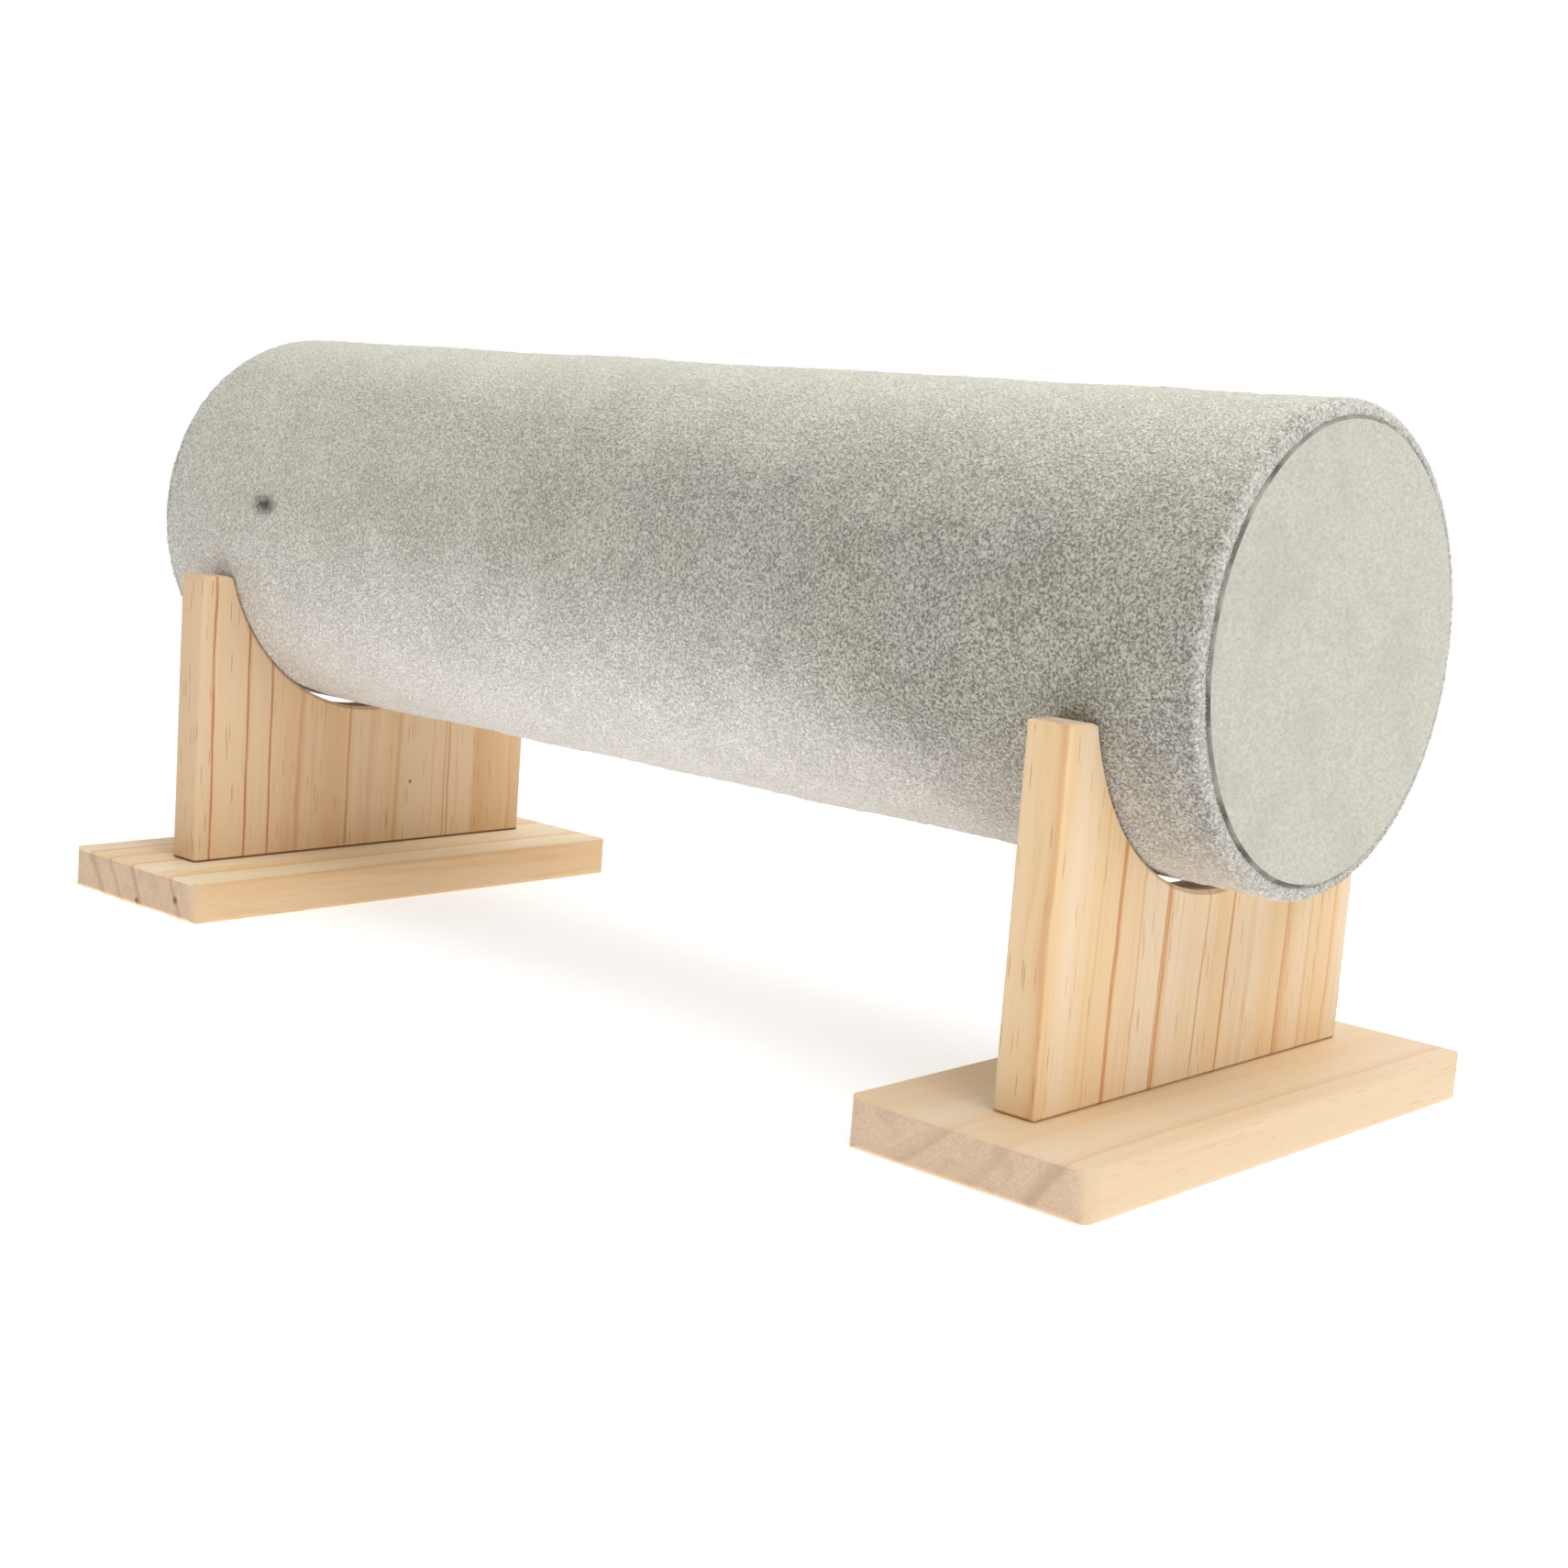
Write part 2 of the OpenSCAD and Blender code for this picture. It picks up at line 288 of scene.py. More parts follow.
@dataclass(frozen=True)
class PlushPile:
    """Short curled pile: pale fibres over darker gaps, with a velvet sheen seen aslant."""

    name: str
    fibre: RGBA = tone(206, 204, 191)
    gap: RGBA = tone(134, 132, 121)
    mauve_fibre: RGBA = tone(206, 203, 197)
    mauve_gap: RGBA = tone(135, 132, 128)
    # Painted light on the top of the pile.
    lit_crown_fibre: RGBA = tone(250, 247, 234)
    lit_crown_gap: RGBA = tone(211, 208, 195)
    # Painted light from the floor on the underside of the pile.
    floor_lit_belly_fibre: RGBA = tone(250, 246, 242)
    floor_lit_belly_gap: RGBA = tone(208, 204, 199)
    rim_fibre: RGBA = tone(226, 223, 216)
    rim_gap: RGBA = tone(178, 175, 169)
    # Colour of the painted shade in the seam groove round the disc.
    seam: RGBA = tone(62, 58, 52)
    curl_mm: float = 0.54
    curl_depth: float = 2.5
    curl_fill: float = 0.53
    patch_mm: float = 28.0
    ragged_mm: float = 0.5
    bump_mm: float = 0.3
    axis_height: float = 0.092
    half_mm: float = 150.0
    mouth_mm: float = 42.0
    rim_mm: float = 1.6
    dimple: Point = (-0.1088, -0.0447, 0.0972)
    dimple_mm: float = 4.3
    dimple_squash: Point = (0.65, 1.25, 1.25)
    dimple_tone: RGBA = tone(28, 27, 24)

    def material(self) -> bpy.types.Material:
        """Makes the pile's material.

        Returns:
            The material, whose colour and bump come from the same curls.
        """
        g = Graph(bpy.data.materials.new(self.name))
        where = g.place((0.0, 0.0, self.axis_height))
        part = g.split(where)
        curls = self.curls(g, where)
        fibre, gap = self.tones(g, where, part)
        lean = g.fit(g.noise(where, self.patch_mm * 0.45, 3.0, 0.6, 0.3), 0.32, 0.7, -0.1, 0.1)
        colour = g.mix(g.math("ADD", curls, lean), gap, fibre)
        # Painted shade in the seam groove round the disc.
        colour = g.mix(self.painted_mouth_shade(g, where, part), colour, self.seam)
        colour = g.mix(self.pressed_dimple(g, where), colour, self.dimple_tone)
        return g.surface({
            "Base Color": colour,
            "Roughness": 1.0,
            "Specular IOR Level": 0.1,
            "Sheen Weight": 0.5,
            "Sheen Roughness": 0.4,
            "Sheen Tint": tone(250, 248, 240),
            "Normal": g.bump(curls, self.bump_mm, 0.9),
        })

    def curls(self, g: Graph, where: Socket) -> Socket:
        """Draws the curled fibres as fine, even worms that run every way.

        Args:
            g: The material's graph.
            where: The place, in millimetres.

        Returns:
            The height of the pile, from 0 in the gaps to 1 on the curls.
        """
        swirl = g.math("SUBTRACT", g.noise(where, self.curl_mm, 0.0, 0.0, 0.7), 0.5)
        return g.math("ADD", self.curl_fill, g.math("MULTIPLY", swirl, self.curl_depth))

    def tones(self, g: Graph, where: Socket, part: dict[str, Socket]) -> tuple[Socket, Socket]:
        """Paints light and shade into the pile: painted shade along the roller's middle, painted
        light on the top and on the underside, painted sheen towards the left end and painted shade
        low down towards the right end.

        Args:
            g: The material's graph.
            where: The place, in millimetres from the roller's middle.
            part: The numbers of that place.

        Returns:
            The colours of the fibres and of the gaps between them.
        """
        rise = g.math("ARCTAN2", part["Z"], g.math("ABSOLUTE", part["Y"]))
        drift = g.fit(g.noise(where, self.patch_mm, 3.0, 0.6, 0.3), 0.3, 0.7, -0.1, 0.1)
        # Painted shade under the right upright: it holds back the underside's painted light towards
        # the right end.
        sway = g.fit(part["X"], 20.0, 130.0, 0.0, 0.74)
        # Painted light over the top of the roller, and painted sheen towards its left end.
        crown = g.fit(g.math("ADD", rise, g.math("MULTIPLY", drift, 0.6)), 0.25, 1.5)
        crown = g.math("MAXIMUM", crown, g.fit(part["X"], -self.half_mm, 95.0, 0.5, 0.0))
        # Painted light from the floor on the underside.
        painted_belly_light = g.fit(g.math("SUBTRACT", g.math("SUBTRACT", drift, rise), sway), -0.35, 0.8)
        cool = g.noise(where, self.patch_mm * 1.3, 2.0)
        cool = g.math("SUBTRACT", cool, g.math("MULTIPLY", rise, 0.15))
        mauve = g.fit(cool, 0.48, 0.7, 0.0, 0.85)
        ragged = g.fit(g.noise(where, 2.2, 2.0), 0.3, 0.7, -self.ragged_mm, self.ragged_mm)
        shoulder = g.math("ADD", g.math("ABSOLUTE", part["X"]), ragged)
        rim = g.fit(shoulder, self.half_mm - self.rim_mm, self.half_mm - 0.2)
        fibre: Value = self.fibre
        gap: Value = self.gap
        for share, to_fibre, to_gap in (
            (mauve, self.mauve_fibre, self.mauve_gap),
            (crown, self.lit_crown_fibre, self.lit_crown_gap),
            (painted_belly_light, self.floor_lit_belly_fibre, self.floor_lit_belly_gap),
            (rim, self.rim_fibre, self.rim_gap),
        ):
            fibre, gap = g.mix(share, fibre, to_fibre), g.mix(share, gap, to_gap)
        return fibre, gap

    def painted_mouth_shade(self, g: Graph, where: Socket, part: dict[str, Socket]) -> Socket:
        """Paints shade on the mouth's inner edge, in the groove where the seam round the disc
        begins, patchy along its length.

        Args:
            g: The material's graph.
            where: The place, in millimetres from the roller's middle.
            part: The numbers of that place.

        Returns:
            How dark the edge is, from 0 to 1.
        """
        reach = g.distance(g.join(0.0, part["Y"], part["Z"]), (0.0, 0.0, 0.0))
        patchy_shade = g.fit(g.noise(where, 9.0, 2.0), 0.35, 0.65, 0.35, 0.95)
        inner = g.fit(reach, self.mouth_mm - 0.16, self.mouth_mm + 0.02, 1.0, 0.0)
        return g.math("MULTIPLY", inner, patchy_shade)

    def pressed_dimple(self, g: Graph, where: Socket) -> Socket:
        """Darkens the pressed fixing dimple, which is longer along the roller than across it.

        Args:
            g: The material's graph.
            where: The place, in millimetres from the roller's middle.

        Returns:
            How dark the dimple is, from 0 to 1.
        """
        x, y, z = self.dimple
        centre = (x / MM, y / MM, (z - self.axis_height) / MM)
        away = g.vector("MULTIPLY", g.vector("SUBTRACT", where, centre), self.dimple_squash)
        ragged = g.fit(g.noise(where, 1.2), 0.3, 0.7, -self.ragged_mm, self.ragged_mm)
        pressed = g.math("ADD", g.distance(away, (0.0, 0.0, 0.0)), ragged)
        return g.fit(pressed, 0.2, self.dimple_mm, 0.95, 0.0)


@dataclass(frozen=True)
class NappedCloth:
    """Fine brushed cloth of the end discs."""

    name: str
    ground: RGBA = tone(182, 181, 168)
    raised: RGBA = tone(205, 203, 191)
    shade: RGBA = tone(170, 168, 157)
    # Colour of the painted shade in the seam groove round the disc.
    seam: RGBA = tone(62, 58, 52)
    nap_mm: float = 0.7
    cloud_mm: float = 16.0
    bump_mm: float = 0.15
    axis_height: float = 0.092
    edge_mm: float = 41.52
    edge_fade_mm: float = 0.07

    def material(self) -> bpy.types.Material:
        """Makes the cloth's material.

        Returns:
            The material.
        """
        g = Graph(bpy.data.materials.new(self.name))
        where = g.place((0.0, 0.0, self.axis_height))
        part = g.split(where)
        brushed = g.vector("MULTIPLY", where, (1.0, 0.55, 1.0))
        nap = g.noise(brushed, self.nap_mm, 3.0, 0.65, 0.8)
        cloud = g.noise(where, self.cloud_mm, 3.0, 0.5, 0.3)
        specks = g.fit(g.noise(where, 1.3, 2.0, 0.6, 1.0), 0.56, 0.72, 0.0, 0.55)
        colour = g.mix(g.fit(nap, 0.3, 0.7), self.ground, self.raised)
        colour = g.mix(g.fit(cloud, 0.42, 0.75, 0.0, 0.35), colour, self.shade)
        colour = g.mix(specks, colour, self.shade)
        # Painted shade on the cloth's rounded edge, down in the seam groove, patchy along its
        # length.
        reach = g.distance(g.join(0.0, part["Y"], part["Z"]), (0.0, 0.0, 0.0))
        patchy_shade = g.fit(g.noise(where, 9.0, 2.0), 0.35, 0.65, 0.3, 0.9)
        edge = g.fit(reach, self.edge_mm, self.edge_mm + self.edge_fade_mm)
        colour = g.mix(g.math("MULTIPLY", edge, patchy_shade), colour, self.seam)
        return g.surface({
            "Base Color": colour,
            "Roughness": 0.95,
            "Specular IOR Level": 0.15,
            "Sheen Weight": 0.5,
            "Sheen Roughness": 0.45,
            "Sheen Tint": tone(250, 248, 240),
            "Normal": g.bump(nap, self.bump_mm, 0.75),
        })


@dataclass(frozen=True)
class OpenFoam:
    """Open-cell foam of the padding layer."""

    name: str
    wall: RGBA = tone(241, 238, 226)
    pore: RGBA = tone(186, 180, 160)
    aged: RGBA = tone(226, 214, 180)
    pore_mm: float = 0.9
    pore_depth_mm: float = 0.3

    def material(self) -> bpy.types.Material:
        """Makes the foam's material.

        Returns:
            The material.
        """
        g = Graph(bpy.data.materials.new(self.name))
        where = g.place()
        pores = g.fit(g.cells(where, self.pore_mm), 0.15, 0.5)
        aged = g.fit(g.noise(where, 22.0, 3.0), 0.4, 0.7, 0.0, 0.25)
        colour = g.mix(pores, self.pore, self.wall)
        return g.surface({
            "Base Color": g.mix(aged, colour, self.aged),
            "Roughness": 0.9,
            "Normal": g.bump(pores, self.pore_depth_mm),
        })


@dataclass(frozen=True)
class WoundPaper:
    """Spirally wound kraft paper of the core tube."""

    name: str
    paper: RGBA = tone(190, 158, 118)
    dark: RGBA = tone(150, 118, 82)
    lead_mm: float = 62.0
    axis_height: float = 0.092

    def material(self) -> bpy.types.Material:
        """Makes the paper's material.

        Returns:
            The material.
        """
        g = Graph(bpy.data.materials.new(self.name))
        where = g.place((0.0, 0.0, self.axis_height))
        part = g.split(where)
        turn = g.math("DIVIDE", g.math("ARCTAN2", part["Y"], part["Z"]), FULL_TURN)
        wound = g.math("FRACT", g.math("ADD", turn, g.math("DIVIDE", part["X"], self.lead_mm)))
        joint = g.ramp(wound, ((0.0, 1.0), (0.012, 0.0), (0.988, 0.0), (1.0, 1.0)))
        fibre = g.noise(g.vector("MULTIPLY", where, (0.3, 1.0, 1.0)), 0.8, 4.0, 0.6)
        colour = g.mix(g.fit(fibre, 0.35, 0.7, 0.0, 0.45), self.paper, self.dark)
        return g.surface({
            "Base Color": g.mix(g.math("MULTIPLY", joint, 0.7), colour, self.dark),
            "Roughness": g.fit(fibre, 0.3, 0.7, 0.72, 0.88),
            "Normal": g.bump(g.math("SUBTRACT", fibre, joint), 0.08),
        })


@dataclass(frozen=True)
class GreyBoard:
    """Recycled grey board of the end discs."""

    name: str
    pulp: RGBA = tone(168, 163, 152)
    pulp_light: RGBA = tone(188, 183, 172)
    fleck: RGBA = tone(120, 115, 106)
    fleck_mm: float = 1.4

    def material(self) -> bpy.types.Material:
        """Makes the board's material.

        Returns:
            The material.
        """
        g = Graph(bpy.data.materials.new(self.name))
        where = g.place()
        drawn = g.vector("MULTIPLY", where, (1.0, 1.0, 0.4))
        flecks = g.fit(g.cells(drawn, self.fleck_mm), 0.05, 0.22, 0.6, 0.0)
        fibre = g.noise(where, 0.5, 4.0, 0.65)
        colour = g.mix(g.fit(fibre, 0.3, 0.7, 0.0, 0.35), self.pulp, self.pulp_light)
        return g.surface({
            "Base Color": g.mix(flecks, colour, self.fleck),
            "Roughness": 0.85,
            "Normal": g.bump(fibre, 0.06),
        })


@dataclass(frozen=True)
class PlatedSteel:
    """Bright plated steel of the screws, dulled in the turned grooves."""

    name: str
    metal: RGBA = tone(205, 207, 210)
    dull: RGBA = tone(160, 160, 158)

    def material(self) -> bpy.types.Material:
        """Makes the steel's material.

        Returns:
            The material.
        """
        g = Graph(bpy.data.materials.new(self.name))
        where = g.place()
        turned = g.noise(g.vector("MULTIPLY", where, (0.3, 0.3, 4.0)), 0.6, 3.0)
        spots = g.fit(g.noise(where, 1.1, 3.0, 0.6), 0.5, 0.72)
        grooved = g.fit(turned, 0.3, 0.7, 0.22, 0.38)
        return g.surface({
            "Base Color": g.mix(spots, self.metal, self.dull),
            "Metallic": 1.0,
            "Roughness": g.math("ADD", grooved, g.math("MULTIPLY", spots, 0.18)),
            "Normal": g.bump(turned, 0.02),
        })


@dataclass(frozen=True)
class RingLine:
    """One year's late wood: its place across the shown face, its depth of colour, the widths
    of the soft band before and after it, and how strong its thin dark core is."""

    at_mm: float
    depth: float
    rise_mm: float = 0.5
    fall_mm: float = 0.7
    core: float = 1.0


@dataclass(frozen=True)
class PineTones:
    """The colours of one pine board."""

    pale: RGBA = tone(242, 220, 190)
    warm: RGBA = tone(239, 207, 162)
    band: RGBA = tone(225, 174, 119)
    late: RGBA = tone(210, 146, 90)
    fleck: RGBA = tone(204, 150, 106)
    end_pale: RGBA = tone(228, 203, 176)
    end_late: RGBA = tone(184, 149, 124)
    knot: RGBA = tone(128, 84, 60)
    # Painted shade along the foot of an upright, where it meets the base.
    joint_shade: RGBA = tone(132, 78, 42)
    # Tint multiplied into the board's faces across it: painted shade on those sides.
    flank: RGBA = tone(255, 255, 255)


@dataclass(frozen=True)
class PlanedPine:
    """Planed pine whose year rings run through the solid board, so that all its faces agree."""

    name: str
    grain: Grain
    centre: Point
    lines: tuple[RingLine, ...]
    pith_mm: Pair
    tones: PineTones = PineTones()
    lean: float = 0.0
    seed: float = 0.0
    knots: tuple[Knot, ...] = ()
    face_mm: float = 4.75
    core_mm: float = 0.5
    fleck_share: float = 0.8
    fleck_mm: float = 0.75
    fibre_mm: float = 0.24
    wave_mm: float = 0.8
    wave_pitch_mm: float = 26.0
    ripple_mm: float = 0.16
    ripple_pitch_mm: float = 4.0
    # Strength of the painted shade at the foot, where the upright meets the base.
    foot_line: float = 0.0
    foot_mm: float = -34.3
    foot_band_mm: float = 0.32

    def material(self) -> bpy.types.Material:
        """Makes the board's material.

        Returns:
            The material, with rings, streaks, resin flecks, pin knots and end grain.
        """
        g = Graph(bpy.data.materials.new(self.name))
        tones = self.tones
        where = g.place(self.centre)
        part = g.split(where)
        across, through, along = (part[axis] for axis in self.grain.value)
        shift = (self.seed, self.seed * 0.7, -self.seed)
        ring = self.ring(g, across, through, along, shift)
        stretched = g.vector("ADD", g.join(across, through, g.math("MULTIPLY", along, 0.05)), shift)
        fibre = g.noise(stretched, self.fibre_mm, 2.0, 0.6)
        streaks = g.noise(g.join(ring, g.math("MULTIPLY", along, 0.018), self.seed), 1.1, 3.0, 0.66)
        broad = g.noise(g.join(ring, g.math("MULTIPLY", along, 0.03), self.seed + 5), 13.0, 2.0)
        band, core = self.year_lines(g, ring)
        worn = g.fit(g.noise(stretched, 0.5, 1.0), 0.3, 0.6, 0.45, 1.0)
        core = g.math("MULTIPLY", core, worn)
        fleck = self.flecks(g, stretched, ring)

        colour = g.mix(g.fit(broad, 0.38, 0.64), tones.pale, tones.warm)
        colour = g.mix(g.fit(streaks, 0.5, 0.76, 0.0, 0.42), colour, tones.band)
        colour = g.mix(g.math("MULTIPLY", band, 0.8), colour, tones.band)
        colour = g.mix(g.fit(fibre, 0.3, 0.7, 0.0, 0.16), colour, tones.warm)
        colour = g.mix(core, colour, tones.late)
        colour = g.mix(fleck, colour, tones.fleck)

        end = self.end_grain(g, where, g.math("MAXIMUM", band, core), streaks)
        normal = g.split(g.node("TexCoord", {}).outputs["Normal"])
        # Painted shade: faces whose normal runs across the board take the flank tint.
        flank = g.fit(g.math("ABSOLUTE", normal[self.grain.across]), 0.15, 0.6)
        colour = g.mix(flank, colour, g.mix(1.0, colour, tones.flank, how="MULTIPLY"))
        cut = g.fit(g.math("ABSOLUTE", normal[self.grain.along]), 0.72, 0.95)
        colour = g.mix(cut, colour, end)
        for spot, radius in self.knots:
            near = g.distance(where, spot)
            colour = g.mix(g.fit(near, radius * 0.4, radius * 1.5, 0.85, 0.0), colour, tones.knot)
        # Painted shade in a thin band at the foot of the upright, where it meets the base.
        if self.foot_line:
            top = self.foot_mm + self.foot_band_mm
            foot = g.fit(part["Z"], self.foot_mm, top, self.foot_line, 0.0)
            colour = g.mix(foot, colour, tones.joint_shade)
        relief = g.math("SUBTRACT", g.math("MULTIPLY", fibre, 0.5), g.math("MULTIPLY", fleck, 0.6))
        return g.surface({
            "Base Color": colour,
            "Roughness": g.fit(g.math("ADD", streaks, cut), 0.3, 1.3, 0.52, 0.8),
            "Specular IOR Level": 0.35,
            "Normal": g.bump(g.math("ADD", relief, g.math("MULTIPLY", core, 0.25)), 0.07),
        })

    def ring(
        self, g: Graph, across: Socket, through: Socket, along: Socket, shift: Point
    ) -> Socket:
        """Measures how far a point lies from the pith.

        Args:
            g: The material's graph.
            across: Place across the board, in millimetres.
            through: Place through its thickness.
            along: Place along its fibres.
            shift: Offset that makes each board's waviness its own.

        Returns:
            The distance in millimetres, less that of the board's middle.
        """
        slow = g.vector("ADD", g.join(across, through, g.math("MULTIPLY", along, 0.35)), shift)
        wave = g.fit(g.noise(slow, self.wave_pitch_mm, 2.0), 0.2, 0.8, -self.wave_mm, self.wave_mm)
        fine = g.noise(slow, self.ripple_pitch_mm, 2.0)
        fine = g.fit(fine, 0.2, 0.8, -self.ripple_mm, self.ripple_mm)
        leaned = g.math("ADD", across, g.math("MULTIPLY", along, self.lean))
        moved = g.math("ADD", leaned, g.math("ADD", wave, fine))
        flat = g.join(moved, through, 0.0)
        pith = (self.pith_mm[0], self.pith_mm[1], 0.0)
        return g.math("SUBTRACT", g.distance(flat, pith), math.hypot(*self.pith_mm))

    def year_lines(self, g: Graph, ring: Socket) -> tuple[Socket, Socket]:
        """Draws every year's late wood.

        Args:
            g: The material's graph.
            ring: The distance from the pith.

        Returns:
            The strength of the soft bands and that of the thin dark cores.
        """
        band: Value = 0.0
        core: Value = 0.0
        for line in self.lines:
            at = math.hypot(line.at_mm - self.pith_mm[0], self.face_mm - self.pith_mm[1])
            offset = g.math("SUBTRACT", ring, at - math.hypot(*self.pith_mm))
            after = g.fit(offset, 0.0, line.fall_mm, line.depth, 0.0)
            soft = g.math("MULTIPLY", g.fit(offset, -line.rise_mm, 0.0), after)
            away = g.math("ABSOLUTE", offset)
            thin = g.fit(away, 0.08, self.core_mm, line.depth * line.core, 0.0)
            band, core = g.math("MAXIMUM", band, soft), g.math("MAXIMUM", core, thin)
        return band, core

    def flecks(self, g: Graph, stretched: Socket, ring: Socket) -> Socket:
        """Scatters short resin flecks along the fibres, thick in some years and rare in others.

        Args:
            g: The material's graph.
            stretched: The place, drawn out along the fibres.
            ring: The distance from the pith.

        Returns:
            The strength of the flecks.
        """
        dashes = g.fit(g.cells(stretched, self.fleck_mm), 0.12, 0.22, 1.0, 0.0)
        places = g.join(ring, self.seed, 3.0)
        years = g.fit(g.noise(places, 4.5, 1.0), 0.4, 0.56, 0.08, self.fleck_share)
        return g.math("MULTIPLY", dashes, years)

    def end_grain(self, g: Graph, where: Socket, late: Socket, streaks: Socket) -> Socket:
        """Colours the sawn ends: greyer wood, with the ring arcs and open pores darker.

        Args:
            g: The material's graph.
            where: The place, in millimetres.
            late: The strength of the late wood.
            streaks: The noise of the fibre streaks.

        Returns:
            The colour of an end.
        """
        pores = g.noise(where, 0.35, 3.0, 0.7)
        stain = g.noise(where, 6.0, 3.0, 0.6, 0.6)
        pale, dark = self.tones.end_pale, self.tones.end_late
        colour = g.mix(g.fit(pores, 0.35, 0.7, 0.0, 0.4), pale, dark)
        colour = g.mix(g.fit(stain, 0.45, 0.75, 0.0, 0.35), colour, dark)
        colour = g.mix(g.fit(streaks, 0.5, 0.8, 0.0, 0.35), colour, dark)
        return g.mix(g.math("MULTIPLY", late, 0.75), colour, dark)


def wave_noise(points: np.ndarray, length: float, seed: int, waves: int = 24) -> np.ndarray:
    """Adds up plane waves of about one length into smooth noise.

    Args:
        points: The places, one row each, in metres.
        length: The usual distance between two crests, in metres.
        seed: The start of the random draws.
        waves: How many waves are added up.

    Returns:
        One number for each point, about 0 on average and mostly between -1 and 1.
    """
    draw = np.random.default_rng(seed)
    heading = draw.normal(size=(waves, 3))
    heading /= np.linalg.norm(heading, axis=1, keepdims=True)
    pitch = FULL_TURN / (length * draw.uniform(0.75, 1.35, waves))
    phase = draw.uniform(0, FULL_TURN, waves)
    total = np.zeros(len(points))
    for way, step, start in zip(heading, pitch, phase):
        total += np.cos(points @ (way * step) + start)
    return total / math.sqrt(waves)


def make_piece(
    name: str, points: np.ndarray, faces: Sequence[Sequence[int]], finish: Finish
) -> bpy.types.Object:
    """Makes a smooth mesh piece with its finish.

    Args:
        name: The piece's name.
        points: Its points in the row frame, in metres.
        faces: The point numbers of each face.
        finish: What it is finished in.

    Returns:
        The new object, linked to the scene.
    """
    mesh = bpy.data.meshes.new(name)
    mesh.from_pydata(points.tolist(), [], [list(face) for face in faces])
    mesh.update()
    mesh.polygons.foreach_set("use_smooth", np.ones(len(mesh.polygons), bool))
    mesh.materials.append(finish.material())
    made = bpy.data.objects.new(name, mesh)
    bpy.context.scene.collection.objects.link(made)
    LOG.info("%s: %d points, %d faces", name, len(mesh.vertices), len(mesh.polygons))
    return made


def ring_faces(rings: int, around: int, closed: bool) -> np.ndarray:
    """Joins rings of points into faces.

    Args:
        rings: How many rings there are.
        around: Points in each ring.
        closed: Whether the last ring joins the first.

    Returns:
        Four point numbers for each face.
    """
    first = np.arange(rings if closed else rings - 1)[:, None]
    turn = np.arange(around)[None, :]
    after, beside = (first + 1) % rings, (turn + 1) % around
    near, far = first * around, after * around
    return np.stack((near + turn, far + turn, far + beside, near + beside), axis=-1).reshape(-1, 4)


def dress(node: str, finish: Finish) -> None:
    """Gives a CAD node its finish.

    Args:
        node: The CAD node's name.
        finish: What it is finished in.
    """
    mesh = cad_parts[node].data
    material = finish.material()
    if not mesh.materials:
        mesh.materials.append(material)
    for index in range(len(mesh.materials)):
        mesh.materials[index] = material
    LOG.info("%s: dressed in %s", node, finish.name)


@dataclass
class RollerShape:
    """The roller's outside, which all its layers follow: its rolled rims and its two mouths."""

    body: str = "roller"
    rim_r: float = 2.4 * MM
    lip_r: float = 0.6 * MM
    mouth_r: float = 42.0 * MM

    def __post_init__(self) -> None:
        """Reads the roller's length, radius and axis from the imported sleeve."""
        low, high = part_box("plush_sleeve")
        self.half = (high.x - low.x) / 2
        self.radius = (high.z - low.z) / 2
        self.axis = (high.z + low.z) / 2

    def turn(self, profile: np.ndarray, around: int) -> tuple[np.ndarray, np.ndarray]:
        """Turns a profile about the roller's axis.

        Args:
            profile: Rows of place along the roller and distance from its axis.
            around: Points in each ring.

        Returns:
            The points, ring by ring, and the outward way at each of them from the axis.
        """
        angle = np.arange(around) * FULL_TURN / around
        out = np.stack([np.zeros(around), np.sin(angle), np.cos(angle)], axis=-1)
        points = profile[:, 1, None, None] * out[None] + np.array([0.0, 0.0, self.axis])
        points[..., 0] += profile[:, 0, None]
        ways = np.broadcast_to(out[None], points.shape)
        return points.reshape(-1, 3), ways.reshape(-1, 3)


